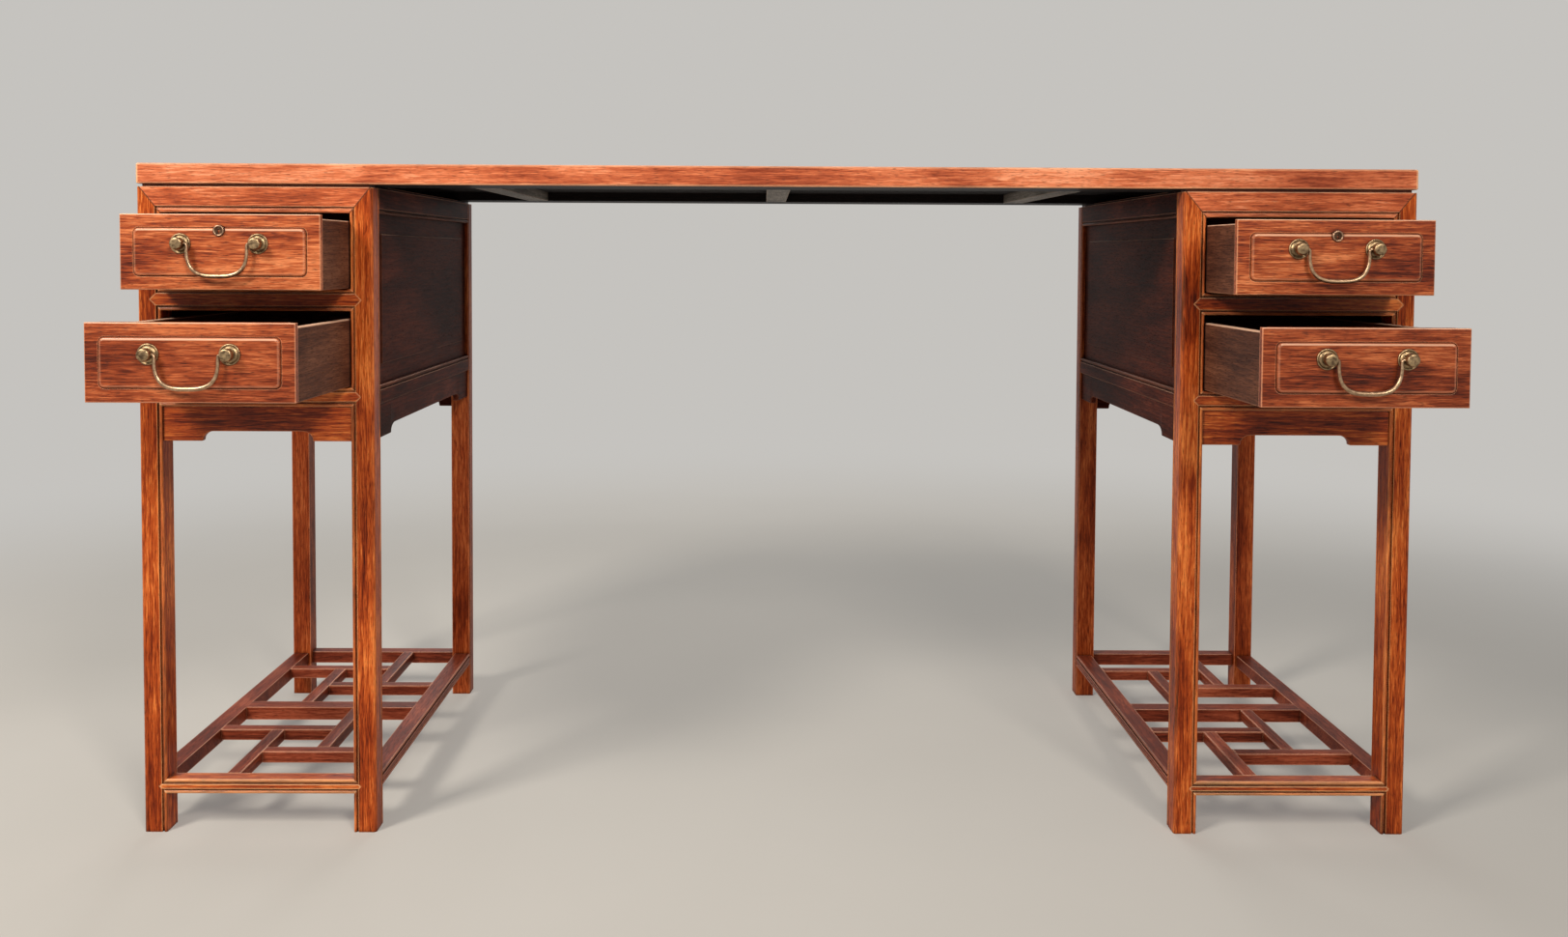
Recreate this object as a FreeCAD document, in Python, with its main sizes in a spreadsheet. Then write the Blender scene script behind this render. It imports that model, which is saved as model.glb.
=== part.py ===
import FreeCAD, Part
import operator
import os
from types import SimpleNamespace

import Sketcher

# Writing desk on two drawer pedestals: framed top, turned-bead frames, open lattice shelves.
# Millimetres, +Z up, front towards -Y, origin on the floor under the middle of the desk
# as it stands with its drawers partly open.

SIZES = {
    # whole desk
    "desk_length": 1560,
    "desk_depth": 530,
    "pedestal_width": 286,
    "pedestal_height": 799,
    "shadow_line_height": 3.5,
    "shadow_line_depth": 5,
    # framed top
    "top_thickness": 25,
    "top_frame_width": 78,
    "top_edge_round": 2,
    "top_panel_thickness": 12,
    "top_tongue_length": 8,
    "top_tongue_thickness": 5,
    "top_tongue_drop": 4,
    "batten_width": 30,
    "batten_spacing": 372,
    "batten_tenon_length": 10,
    "batten_tenon_thickness": 7,
    "batten_tenon_shoulder": 5,
    # legs and the moulding on legs and rails
    "leg_size": 28,
    "arris_round": 3.5,
    "bead_width": 4,
    "bead_round": 1.8,
    "groove_width": 2,
    "groove_depth": 2,
    # rails of the pedestals
    "rail_depth": 24,
    "rail_face_depth": 9,
    "tenon_thickness": 8,
    "tenon_wall": 1,
    "top_rail_height": 34.5,
    "mid_rail_height": 27,
    "lower_rail_height": 24,
    "upper_opening_height": 92.5,
    "lower_opening_height": 93,
    # panels let into legs and rails
    "panel_thickness": 8,
    "panel_setback": 5,
    "panel_tongue": 6,
    "panel_field_margin": 25,
    "panel_field_raise": 1.2,
    # aprons under the lower rails
    "apron_thickness": 9,
    "apron_setback": 3,
    "apron_height": 43,
    "apron_rise": 12,
    "front_ear_width": 48,
    "side_ear_width": 56,
    "back_apron_height": 60,
    "back_apron_rise": 16,
    "back_ear_width": 24,
    # open shelf near the floor
    "shelf_height": 66,
    "shelf_thickness": 18,
    "shelf_end_depth": 20,
    "shelf_side_width": 24,
    "shelf_middle_width": 24,
    "lattice_width": 17,
    "lattice_height": 15,
    "lattice_offset": 41,
    # strips that carry and guide the drawers
    "runner_reach": 11,
    "runner_height": 16,
    "guide_height": 14,
    # drawers
    "upper_drawer_out": 100,
    "lower_drawer_out": 180,
    "drawer_side_gap": 1,
    "drawer_bottom_gap": 1,
    "drawer_top_gap": 5,
    "drawer_run_gap": 0.3,
    "drawer_length": 455,
    "drawer_front_thickness": 16,
    "drawer_front_arris": 1,
    "drawer_side_thickness": 11,
    "drawer_side_drop": 5,
    "drawer_lap": 9,
    "drawer_back_thickness": 10,
    "drawer_bottom_thickness": 6,
    "drawer_bottom_raise": 5,
    "drawer_bottom_tongue": 5,
    "field_margin": 16,
    "field_raise": 2.5,
    "field_corner": 6,
    "field_round": 1.8,
    # bail pulls
    "pull_spacing": 88,
    "pull_rise": 9.5,
    "rosette_radius": 11,
    "rosette_neck_radius": 7.6,
    "rosette_rim": 0.9,
    "rosette_dome": 1.8,
    "knob_radius": 7,
    "knob_reach": 6.8,
    "stem_radius": 2.4,
    "nut_radius": 5,
    "nut_thickness": 3,
    "bail_wire_radius": 1.7,
    "bail_fit": 0.06,
    "bail_inset": 9.8,
    "bail_elbow": 2.8,
    "bail_corner": 15,
    "bail_drop": 37,
    "bail_bore_past": 1,
    # locks of the upper drawers
    "lock_width": 36,
    "lock_height": 34,
    "lock_depth": 9,
    "lock_plate_radius": 6.5,
    "lock_plate_proud": 1.2,
    "lock_plate_inlay": 2,
    "lock_drop": 3,
    "keyhole_radius": 1.7,
    "keyhole_slot_width": 1.8,
    "keyhole_slot_length": 4,
    "bolt_width": 14,
    "bolt_thickness": 4,
    "bolt_length": 22,
    "bolt_throw": 10,
    "bolt_gap": 0.3,
    # length by which a cut runs past the face that it opens
    "overrun": 2,
}

doc = FreeCAD.newDocument("writing_desk")
sheet = doc.addObject("Spreadsheet::Sheet", "Sizes")
for row, (alias, number) in enumerate(SIZES.items(), start=1):
    sheet.set(f"A{row}", alias)
    sheet.set(f"B{row}", str(number))
    sheet.setAlias(f"B{row}", alias)
doc.recompute()

OPERATIONS = {"+": operator.add, "-": operator.sub, "*": operator.mul, "/": operator.truediv}


class Size:
    """A length: its number, and the words that bind it to the sheet."""

    def __init__(self, number, words):
        self.number = number
        self.words = words

    def joined(self, sign, other, swapped=False):
        other = other if isinstance(other, Size) else Size(other, str(other))
        first, second = (other, self) if swapped else (self, other)
        number = OPERATIONS[sign](first.number, second.number)
        return Size(number, f"({first.words} {sign} {second.words})")

    def __add__(self, other):
        return self.joined("+", other)

    def __radd__(self, other):
        return self.joined("+", other, swapped=True)

    def __sub__(self, other):
        return self.joined("-", other)

    def __rsub__(self, other):
        return self.joined("-", other, swapped=True)

    def __mul__(self, other):
        return self.joined("*", other)

    def __rmul__(self, other):
        return self.joined("*", other, swapped=True)

    def __truediv__(self, other):
        return self.joined("/", other)


s = SimpleNamespace(**{alias: Size(float(number), f"Sizes.{alias}") for alias, number in SIZES.items()})
ZERO = Size(0.0, "0")

# Sizes worked out from the sheet, shared by several pieces

pull_reach = s.field_raise + s.knob_reach + s.knob_radius
front = (s.lower_drawer_out + pull_reach - s.desk_depth) / 2
left_end = s.desk_length / -2
pedestal_start = {"left": left_end, "right": s.desk_length / 2 - s.pedestal_width}
opening_width = s.pedestal_width - 2 * s.leg_size
side_run = s.desk_depth - 2 * s.leg_size
far_leg = s.pedestal_width - s.leg_size
back_leg = s.desk_depth - s.leg_size
top_rail_bottom = s.pedestal_height - s.top_rail_height
mid_rail_top = top_rail_bottom - s.upper_opening_height
mid_rail_bottom = mid_rail_top - s.mid_rail_height
lower_rail_top = mid_rail_bottom - s.lower_opening_height
lower_rail_bottom = lower_rail_top - s.lower_rail_height
shelf_bottom = s.shelf_height - s.shelf_thickness
tenon_length = s.leg_size - s.rail_face_depth - s.tenon_thickness - s.tenon_wall
tenon_shoulder = s.panel_tongue + s.tenon_wall

SUBPARTS = {}


# Small tools for making document objects

def bind(item, path, length):
    item.setExpression(path, length.words)


def place(item, corner):
    for axis, length in zip("xyz", corner):
        bind(item, f"Placement.Base.{axis}", length)


def keep(node, item):
    """Names an object as the sub-part that is written to its own file."""
    item.Label = node
    SUBPARTS[node] = item
    return item


def block(name, corner, extent):
    box = doc.addObject("Part::Box", name)
    for path, length in zip(("Length", "Width", "Height"), extent):
        bind(box, path, length)
    place(box, corner)
    return box


TURN_TO = {
    "x": FreeCAD.Rotation(FreeCAD.Vector(0, 1, 0), 90),
    "y": FreeCAD.Rotation(FreeCAD.Vector(1, 0, 0), -90),
    "z": FreeCAD.Rotation(),
}


def rod(name, axis, start, radius, length):
    cylinder = doc.addObject("Part::Cylinder", name)
    cylinder.Placement.Rotation = TURN_TO[axis]
    bind(cylinder, "Radius", radius)
    bind(cylinder, "Height", length)
    place(cylinder, start)
    return cylinder


def fused(name, items):
    union = doc.addObject("Part::MultiFuse", name)
    union.Shapes = items
    union.Refine = True
    return union


def grouped(name, items):
    group = doc.addObject("Part::Compound", name)
    group.Links = items
    return group


def cut(name, base, tools):
    """Base with every tool taken out of it: how a leg is notched by the rails that enter it."""
    result = doc.addObject("Part::Cut", name)
    result.Base = base
    result.Tool = tools[0] if len(tools) == 1 else grouped(name + "_tools", tools)
    return result


def new_body(name, corner):
    body = doc.addObject("PartDesign::Body", name)
    place(body, corner)
    return body


def new_sketch(body, role, outlines):
    """Closed polygons on one of the body's own planes, every corner tied to the sheet."""
    sketch = body.newObject("Sketcher::SketchObject", f"{body.Name}_outline")
    plane = next(item for item in body.Origin.OriginFeatures if item.Role == role)
    sketch.AttachmentSupport = [(plane, "")]
    sketch.MapMode = "FlatFace"
    for corners in outlines:
        first = sketch.GeometryCount
        count = len(corners)
        for number, (across, up) in enumerate(corners):
            next_across, next_up = corners[(number + 1) % count]
            start = FreeCAD.Vector(across.number, up.number, 0)
            finish = FreeCAD.Vector(next_across.number, next_up.number, 0)
            sketch.addGeometry(Part.LineSegment(start, finish), False)
        for number, (across, up) in enumerate(corners):
            line = first + number
            sketch.addConstraint(Sketcher.Constraint("Coincident", line, 2, first + (number + 1) % count, 1))
            for kind, length, axis in (("DistanceX", across, -2), ("DistanceY", up, -1)):
                if length is ZERO:
                    sketch.addConstraint(Sketcher.Constraint("PointOnObject", line, 1, axis))
                    continue
                index = sketch.addConstraint(Sketcher.Constraint(kind, -1, 1, line, 1, length.number))
                bind(sketch, f"Constraints[{index}]", length)
    return sketch


def pad(body, sketch, length, reverse=False):
    feature = body.newObject("PartDesign::Pad", f"{body.Name}_pad")
    feature.Profile = sketch
    feature.Reversed = reverse
    bind(feature, "Length", length)
    doc.recompute()
    return feature


def straight_edges(shape, direction, wanted):
    """Names of the edges along a direction whose middle passes a test."""
    names = []
    for number, edge in enumerate(shape.Edges, start=1):
        if not isinstance(edge.Curve, Part.Line):
            continue
        run = edge.Vertexes[-1].Point - edge.Vertexes[0].Point
        if abs(abs(run.normalize().dot(direction)) - 1) > 1e-6:
            continue
        if wanted(edge.CenterOfMass):
            names.append(f"Edge{number}")
    return names


def rounded(body, names, radius):
    before = body.Tip
    feature = body.newObject("PartDesign::Fillet", f"{body.Name}_round")
    feature.Base = (before, names)
    bind(feature, "Radius", radius)
    doc.recompute()
    return feature


def near(first, second):
    return abs(first - second) < 1e-5


ALONG_X = FreeCAD.Vector(1, 0, 0)
ALONG_Y = FreeCAD.Vector(0, 1, 0)
ALONG_Z = FreeCAD.Vector(0, 0, 1)


# Legs: square posts that run the full height of a pedestal

def leg_blank(name, corner, outer_right, outer_back):
    """A post with a soft outer arris and a bead along both edges that border an opening."""
    body = new_body(name, corner)
    bead_start = s.leg_size - s.bead_width
    groove_start = bead_start - s.groove_width
    outline = [
        (ZERO, ZERO),
        (groove_start, ZERO),
        (groove_start, s.groove_depth),
        (bead_start, s.groove_depth),
        (bead_start, ZERO),
        (s.leg_size, ZERO),
        (s.leg_size, s.leg_size),
        (ZERO, s.leg_size),
        (ZERO, bead_start),
        (s.groove_depth, bead_start),
        (s.groove_depth, groove_start),
        (ZERO, groove_start),
    ]

    def turned(length, flip):
        if not flip:
            return length
        if length is s.leg_size:
            return ZERO
        return s.leg_size if length is ZERO else s.leg_size - length

    corners = [(turned(across, outer_right), turned(up, outer_back)) for across, up in outline]
    pad(body, new_sketch(body, "XY_Plane", [corners]), s.pedestal_height)
    outer_x = s.leg_size.number if outer_right else 0.0
    outer_y = s.leg_size.number if outer_back else 0.0

    def on_arris(point):
        return near(point.x, outer_x) and near(point.y, outer_y)

    quirk_x = (s.leg_size - groove_start if outer_right else groove_start).number
    quirk_y = (s.leg_size - groove_start if outer_back else groove_start).number

    def on_bead(point):
        on_face = near(point.x, outer_x) or near(point.y, outer_y)
        return on_face and not near(point.x, quirk_x) and not near(point.y, quirk_y)

    rounded(body, straight_edges(body.Tip.Shape, ALONG_Z, on_arris), s.arris_round)
    beads = [
        name for name in straight_edges(body.Tip.Shape, ALONG_Z, on_bead)
        if not touches_round(body.Tip.Shape, name)
    ]
    rounded(body, beads, s.bead_round)
    return body


def touches_round(shape, edge_name):
    """True for an edge that already borders a rounded face."""
    edge = shape.getElement(edge_name)
    return any(
        isinstance(face.Surface, Part.Cylinder) and any(edge.isSame(other) for other in face.Edges)
        for face in shape.Faces
    )


# Moulded bars: rails with a bead and groove along the edges that border an opening

def moulded_outline(height, depth, low_bead, high_bead, bead, groove, flip):
    """Section of a bar as (depth from the face, height) pairs."""
    corners = [(ZERO, ZERO)]
    if low_bead:
        corners += [
            (ZERO, bead),
            (s.groove_depth, bead),
            (s.groove_depth, bead + groove),
            (ZERO, bead + groove),
        ]
    if high_bead:
        corners += [
            (ZERO, height - bead - groove),
            (s.groove_depth, height - bead - groove),
            (s.groove_depth, height - bead),
            (ZERO, height - bead),
        ]
    corners += [(ZERO, height), (depth, height), (depth, ZERO)]
    if not flip:
        return corners
    turned = {id(ZERO): depth, id(depth): ZERO}
    return [(turned.get(id(inward), depth - inward), up) for inward, up in corners]


def moulded_bar(name, along, corner, length, height, depth, low_bead=True, high_bead=True, flip=False,
                bead=s.bead_width, groove=s.groove_width):
    """A bar along X or Y whose moulded face looks outwards; flip puts that face at the far side."""
    body = new_body(name, corner)
    outline = moulded_outline(height, depth, low_bead, high_bead, bead, groove, flip)
    if along == "x":
        pad(body, new_sketch(body, "YZ_Plane", [outline]), length)
    else:
        pad(body, new_sketch(body, "XZ_Plane", [outline]), length, reverse=True)
    face = depth.number if flip else 0.0
    direction = ALONG_X if along == "x" else ALONG_Y

    quirks = ((bead + groove).number, (height - bead - groove).number)

    def on_bead(point):
        on_face = near(point.y if along == "x" else point.x, face)
        return on_face and not any(near(point.z, quirk) for quirk in quirks)

    rounded(body, straight_edges(body.Tip.Shape, direction, on_bead), s.bead_round)
    return body


def shaped_rail(name, x_start, z_start, height, depth, bar, notch):
    """A front rail: the moulded bar trimmed to its ends, a square core behind it, one tenon through both.

    Also returns what the legs lose to it: the plain shape of the trimmed ends, and the tenon.
    """
    face = doc.addObject("Part::Common", name + "_face")
    face.Base = bar
    face.Tool = notch
    core = block(
        name + "_core",
        (x_start + s.leg_size, front + s.rail_face_depth, z_start),
        (opening_width, depth - s.rail_face_depth, height))
    tenon = block(
        name + "_tenon",
        (x_start + s.leg_size - tenon_length, front + s.rail_face_depth, z_start + tenon_shoulder),
        (opening_width + 2 * tenon_length, s.tenon_thickness, height - 2 * tenon_shoulder))
    return fused(name + "_whole", [face, core, tenon]), [notch, tenon]


def pointed_rail(name, x_start, z_start, height, depth):
    """A front rail whose face ends in points that run halfway into the legs."""
    point = height / 2
    length = opening_width + height
    corner = (x_start + s.leg_size - point, front, z_start)
    bar = moulded_bar(name + "_bar", "x", corner, length, height, s.rail_face_depth)
    notch = new_body(name + "_notch", corner)
    outline = [
        (ZERO, point),
        (point, ZERO),
        (length - point, ZERO),
        (length, point),
        (length - point, height),
        (point, height),
    ]
    pad(notch, new_sketch(notch, "XZ_Plane", [outline]), s.rail_face_depth, reverse=True)
    return shaped_rail(name, x_start, z_start, height, depth, bar, notch)


def mitred_rail(name, x_start, z_start, height, depth):
    """The front top rail, mitred from the opening's corners to the pedestal's rounded corners."""
    share_of_leg = height / s.leg_size
    corner = (x_start, front, z_start)
    bar = moulded_bar(
        name + "_bar", "x", corner, s.pedestal_width, height, s.rail_face_depth,
        high_bead=False, bead=s.bead_width * share_of_leg, groove=s.groove_width * share_of_leg)
    notch = new_body(name + "_notch", corner)
    outline = [(ZERO, height), (s.leg_size, ZERO), (far_leg, ZERO), (s.pedestal_width, height)]
    pad(notch, new_sketch(notch, "XZ_Plane", [outline]), s.rail_face_depth, reverse=True)
    rail, leg_tools = shaped_rail(name, x_start, z_start, height, depth, bar, notch)
    envelope = new_body(name + "_envelope", corner)
    plan = [(ZERO, ZERO), (s.pedestal_width, ZERO), (s.pedestal_width, depth), (ZERO, depth)]
    pad(envelope, new_sketch(envelope, "XY_Plane", [plan]), height)
    corners = straight_edges(envelope.Tip.Shape, ALONG_Z, lambda point: near(point.y, 0.0))
    rounded(envelope, corners, s.arris_round)
    result = doc.addObject("Part::Common", name + "_rounded")
    result.Base = rail
    result.Tool = envelope
    return result, leg_tools


def side_rail(name, x_start, z_start, height, right_side, low_bead):
    """A rail between a front leg and the back leg behind it, tenoned into both."""
    across = s.pedestal_width - s.rail_depth if right_side else ZERO
    bar = moulded_bar(
        name + "_bar", "y", (x_start + across, front + s.leg_size, z_start), side_run, height, s.rail_depth,
        low_bead=low_bead, high_bead=not low_bead or z_start is lower_rail_bottom, flip=right_side)
    inset = s.pedestal_width - s.rail_face_depth - s.tenon_thickness if right_side else s.rail_face_depth
    tenon = block(
        name + "_tenon",
        (x_start + inset, front + s.leg_size - tenon_length, z_start + tenon_shoulder),
        (s.tenon_thickness, side_run + 2 * tenon_length, height - 2 * tenon_shoulder))
    return fused(name + "_whole", [bar, tenon])


def back_rail(name, x_start, z_start, height, low_bead):
    """A rail between the two back legs, moulded on the back."""
    bar = moulded_bar(
        name + "_bar", "x", (x_start + s.leg_size, front + s.desk_depth - s.rail_depth, z_start),
        opening_width, height, s.rail_depth,
        low_bead=low_bead, high_bead=not low_bead or z_start is lower_rail_bottom, flip=True)
    tenon = block(
        name + "_tenon",
        (x_start + s.leg_size - tenon_length,
         front + s.desk_depth - s.rail_face_depth - s.tenon_thickness, z_start + tenon_shoulder),
        (opening_width + 2 * tenon_length, s.tenon_thickness, height - 2 * tenon_shoulder))
    return fused(name + "_whole", [bar, tenon])


# Aprons: thin boards under the lower rails, cut up between two ears

def apron(name, along, corner, run, ear, height, rise):
    """Board whose lower edge rises between its ears in two quarter rounds."""
    if along == "x":
        board = block(name + "_board", corner, (run, s.apron_thickness, height))
    else:
        board = block(name + "_board", corner, (s.apron_thickness, run, height))
    start_x, start_y, start_z = corner
    middle = run - 2 * ear - 2 * rise
    through = s.apron_thickness + 2 * s.overrun
    tall = rise + s.overrun
    if along == "x":
        clear = block(
            name + "_clear", (start_x + ear + rise, start_y - s.overrun, start_z - s.overrun),
            (middle, through, tall))
        ends = [start_x + ear + rise, start_x + run - ear - rise]
        rounds = [
            rod(f"{name}_round_{number}", "y", (end, start_y - s.overrun, start_z), rise, through)
            for number, end in enumerate(ends)
        ]
    else:
        clear = block(
            name + "_clear", (start_x - s.overrun, start_y + ear + rise, start_z - s.overrun),
            (through, middle, tall))
        ends = [start_y + ear + rise, start_y + run - ear - rise]
        rounds = [
            rod(f"{name}_round_{number}", "x", (start_x - s.overrun, end, start_z), rise, through)
            for number, end in enumerate(ends)
        ]
    return cut(name + "_cut", board, [clear] + rounds)


# Pedestals

def fielded_panel(name, along, corner, run, height, faces_far):
    """A thin board, tongue and all, with a field raised on the face that looks outwards."""
    margin = s.panel_tongue + s.panel_field_margin
    thin = s.panel_thickness - s.panel_field_raise
    pieces = []
    for part, inset, depth, edge in (
            ("board", ZERO if faces_far else s.panel_field_raise, thin, ZERO),
            ("field", thin if faces_far else ZERO, s.panel_field_raise, margin)):
        start = [corner[0] + edge, corner[1] + inset, corner[2] + edge]
        extent = [run - 2 * edge, depth, height - 2 * edge]
        if along == "y":
            start[:2] = [corner[0] + inset, corner[1] + edge]
            extent[:2] = [depth, run - 2 * edge]
        pieces.append(block(f"{name}_{part}", tuple(start), tuple(extent)))
    return fused(name, pieces)


def shadow_line(side, x_start):
    """What is cut away round the top of a pedestal, so that a dark line parts it from the desk top."""
    low = s.pedestal_height - s.shadow_line_height
    high = s.shadow_line_height + s.overrun
    outer = block(
        f"{side}_shadow_line_outer", (x_start - s.overrun, front - s.overrun, low),
        (s.pedestal_width + 2 * s.overrun, s.desk_depth + 2 * s.overrun, high))
    inner = block(
        f"{side}_shadow_line_inner",
        (x_start + s.shadow_line_depth, front + s.shadow_line_depth, low - s.overrun),
        (s.pedestal_width - 2 * s.shadow_line_depth, s.desk_depth - 2 * s.shadow_line_depth,
         high + 2 * s.overrun))
    return cut(f"{side}_shadow_line", outer, [inner])


def pedestal(side):
    """One pedestal: post and rail frame, panels, aprons, drawer runners and the open shelf."""
    x_start = pedestal_start[side]
    rebate = shadow_line(side, x_start)

    # panels, let into grooves on all four edges
    panel_bottom = lower_rail_top - s.panel_tongue
    panel_height = top_rail_bottom + s.panel_tongue - panel_bottom
    side_panels = []
    for number, inset in enumerate((s.panel_setback, s.pedestal_width - s.panel_setback - s.panel_thickness)):
        side_panels.append(fielded_panel(
            f"{side}_side_panel_{number}", "y",
            (x_start + inset, front + s.leg_size - s.panel_tongue, panel_bottom),
            side_run + 2 * s.panel_tongue, panel_height, faces_far=number == 1))
    keep(f"{side}_side_panels", grouped(f"{side}_side_panels", side_panels))
    back_panel = keep(f"{side}_back_panel", fielded_panel(
        f"{side}_back_panel", "x",
        (x_start + s.leg_size - s.panel_tongue,
         front + s.desk_depth - s.panel_setback - s.panel_thickness, panel_bottom),
        opening_width + 2 * s.panel_tongue, panel_height, faces_far=True))

    # front rails
    top_rail, leg_tools = mitred_rail(
        f"{side}_top_rail", x_start, top_rail_bottom, s.top_rail_height, s.rail_depth)
    mortise_depth = s.bolt_throw - s.drawer_top_gap + s.bolt_gap
    mortise_gap = 2 * s.bolt_gap
    mortise = block(
        f"{side}_bolt_mortise",
        (x_start + s.pedestal_width / 2 - s.bolt_width / 2 - mortise_gap,
         front + s.drawer_front_thickness - s.lock_depth / 2 - s.bolt_thickness / 2 - mortise_gap,
         top_rail_bottom - s.overrun),
        (s.bolt_width + 2 * mortise_gap, s.bolt_thickness + 2 * mortise_gap, s.overrun + mortise_depth))
    keep(f"{side}_top_rail", cut(f"{side}_top_rail", top_rail, [mortise, rebate]))
    for level, z_start, height, depth in (
            ("mid", mid_rail_bottom, s.mid_rail_height, s.rail_depth),
            ("lower", lower_rail_bottom, s.lower_rail_height, s.rail_depth),
            ("shelf_front", shelf_bottom, s.shelf_thickness, s.shelf_end_depth)):
        rail, entering = pointed_rail(f"{side}_{level}_rail", x_start, z_start, height, depth)
        keep(f"{side}_{level}_rail", rail)
        leg_tools += entering

    # side and back rails, grooved for the panels
    side_rails = []
    for right_side in (False, True):
        panel = side_panels[int(right_side)]
        for level, z_start, height, low_bead in (
                ("top", top_rail_bottom, s.top_rail_height, True),
                ("lower", lower_rail_bottom, s.lower_rail_height, False)):
            name = f"{side}_side_rail_{level}_{int(right_side)}"
            rail = side_rail(name, x_start, z_start, height, right_side, low_bead)
            side_rails.append(cut(name, rail, [panel, rebate] if low_bead else [panel]))
    keep(f"{side}_side_rails", grouped(f"{side}_side_rails", side_rails))
    back_rails = []
    for level, z_start, height, low_bead in (
            ("top", top_rail_bottom, s.top_rail_height, True),
            ("lower", lower_rail_bottom, s.lower_rail_height, False)):
        name = f"{side}_back_rail_{level}"
        back_rails.append(cut(
            name, back_rail(name, x_start, z_start, height, low_bead),
            [back_panel, rebate] if low_bead else [back_panel]))
    keep(f"{side}_back_rails", grouped(f"{side}_back_rails", back_rails))

    # shelf frame: back rail, side rails and middle bar
    shelf_back = block(
        f"{side}_shelf_back",
        (x_start + s.leg_size, front + s.desk_depth - s.shelf_end_depth, shelf_bottom),
        (opening_width, s.shelf_end_depth, s.shelf_thickness))
    shelf_sides = []
    for right_side in (False, True):
        across = s.pedestal_width - s.shelf_side_width if right_side else ZERO
        shelf_sides.append(moulded_bar(
            f"{side}_shelf_side_{int(right_side)}", "y",
            (x_start + across, front + s.leg_size, shelf_bottom),
            side_run, s.shelf_thickness, s.shelf_side_width, flip=right_side))
    shelf_inner = s.pedestal_width - 2 * s.shelf_side_width
    shelf_middle = block(
        f"{side}_shelf_middle",
        (x_start + s.shelf_side_width, front + (s.desk_depth - s.shelf_middle_width) / 2, shelf_bottom),
        (shelf_inner, s.shelf_middle_width, s.shelf_thickness))
    keep(f"{side}_shelf_frame", grouped(f"{side}_shelf_frame", [shelf_back, shelf_middle] + shelf_sides))
    keep(f"{side}_shelf_lattice", shelf_lattice(side, x_start))

    # aprons
    keep(f"{side}_front_apron", apron(
        f"{side}_front_apron", "x",
        (x_start + s.leg_size, front + s.apron_setback, lower_rail_bottom - s.apron_height),
        opening_width, s.front_ear_width, s.apron_height, s.apron_rise))
    side_aprons = []
    for number, inset in enumerate((s.apron_setback, s.pedestal_width - s.apron_setback - s.apron_thickness)):
        side_aprons.append(apron(
            f"{side}_side_apron_{number}", "y",
            (x_start + inset, front + s.leg_size, lower_rail_bottom - s.apron_height),
            side_run, s.side_ear_width, s.apron_height, s.apron_rise))
    keep(f"{side}_side_aprons", grouped(f"{side}_side_aprons", side_aprons))
    keep(f"{side}_back_apron", apron(
        f"{side}_back_apron", "x",
        (x_start + s.leg_size, front + s.desk_depth - s.apron_setback - s.apron_thickness,
         lower_rail_bottom - s.back_apron_height),
        opening_width, s.back_ear_width, s.back_apron_height, s.back_apron_rise))

    # legs, notched by everything that enters them
    front_tools = leg_tools + side_rails + side_panels
    back_tools = side_rails + side_panels + back_rails + [back_panel]
    for end, y_inset, tools in (("front", ZERO, front_tools), ("back", back_leg, back_tools)):
        pair = []
        for number, x_inset in enumerate((ZERO, far_leg)):
            name = f"{side}_{end}_leg_{number}"
            blank = leg_blank(
                name + "_blank", (x_start + x_inset, front + y_inset, ZERO),
                outer_right=number == 1, outer_back=end == "back")
            pair.append(cut(name, blank, tools + [rebate]))
        keep(f"{side}_{end}_legs", grouped(f"{side}_{end}_legs", pair))

    keep(f"{side}_drawer_runners", grouped(f"{side}_drawer_runners", runners(side, x_start)))


def shelf_lattice(side, x_start):
    """Flat bars in a pinwheel, once in front of the middle bar and once behind it."""
    width = s.lattice_width
    low = s.shelf_height - s.lattice_height
    middle = x_start + s.pedestal_width / 2
    left_bar = middle - s.lattice_offset - width / 2
    right_bar = middle + s.lattice_offset - width / 2
    left_edge = x_start + s.shelf_side_width
    right_edge = x_start + s.pedestal_width - s.shelf_side_width
    span = (s.desk_depth - s.shelf_middle_width) / 2 - s.shelf_end_depth
    bars = []
    for half, start in (("front", front + s.shelf_end_depth),
                        ("back", front + (s.desk_depth + s.shelf_middle_width) / 2)):
        near_bar = start + span / 3 - width / 2
        far_bar = start + 2 * span / 3 - width / 2
        pieces = {
            "near_upright": ((left_bar, start), (width, far_bar - start)),
            "near_cross": ((left_bar + width, near_bar), (right_edge - left_bar - width, width)),
            "far_upright": ((right_bar, near_bar + width), (width, start + span - near_bar - width)),
            "far_cross": ((left_edge, far_bar), (right_bar - left_edge, width)),
        }
        for piece, ((x_at, y_at), (x_run, y_run)) in pieces.items():
            bars.append(block(
                f"{side}_lattice_{half}_{piece}", (x_at, y_at, low), (x_run, y_run, s.lattice_height)))
    return grouped(f"{side}_shelf_lattice", bars)


def runners(side, x_start):
    """A runner under each drawer side and a guide beside it, from front leg to back leg."""
    inner_face = s.panel_setback + s.panel_thickness
    guide_width = s.leg_size - inner_face
    strips = []
    for level, rail_top, seat in (("upper", mid_rail_top, inner_face), ("lower", lower_rail_top, s.rail_depth)):
        run_height = rail_top + s.drawer_bottom_gap - s.drawer_run_gap
        runner_width = s.leg_size + s.runner_reach - seat
        for number in (0, 1):
            runner_x = far_leg - s.runner_reach if number else seat
            guide_x = far_leg if number else inner_face
            strips.append(block(
                f"{side}_{level}_runner_{number}",
                (x_start + runner_x, front + s.leg_size, run_height - s.runner_height),
                (runner_width, side_run, s.runner_height)))
            strips.append(block(
                f"{side}_{level}_guide_{number}",
                (x_start + guide_x, front + s.leg_size, run_height),
                (guide_width, side_run, s.guide_height)))
    return strips


# Top: a mitred frame round a floating panel, with three battens underneath

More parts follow.
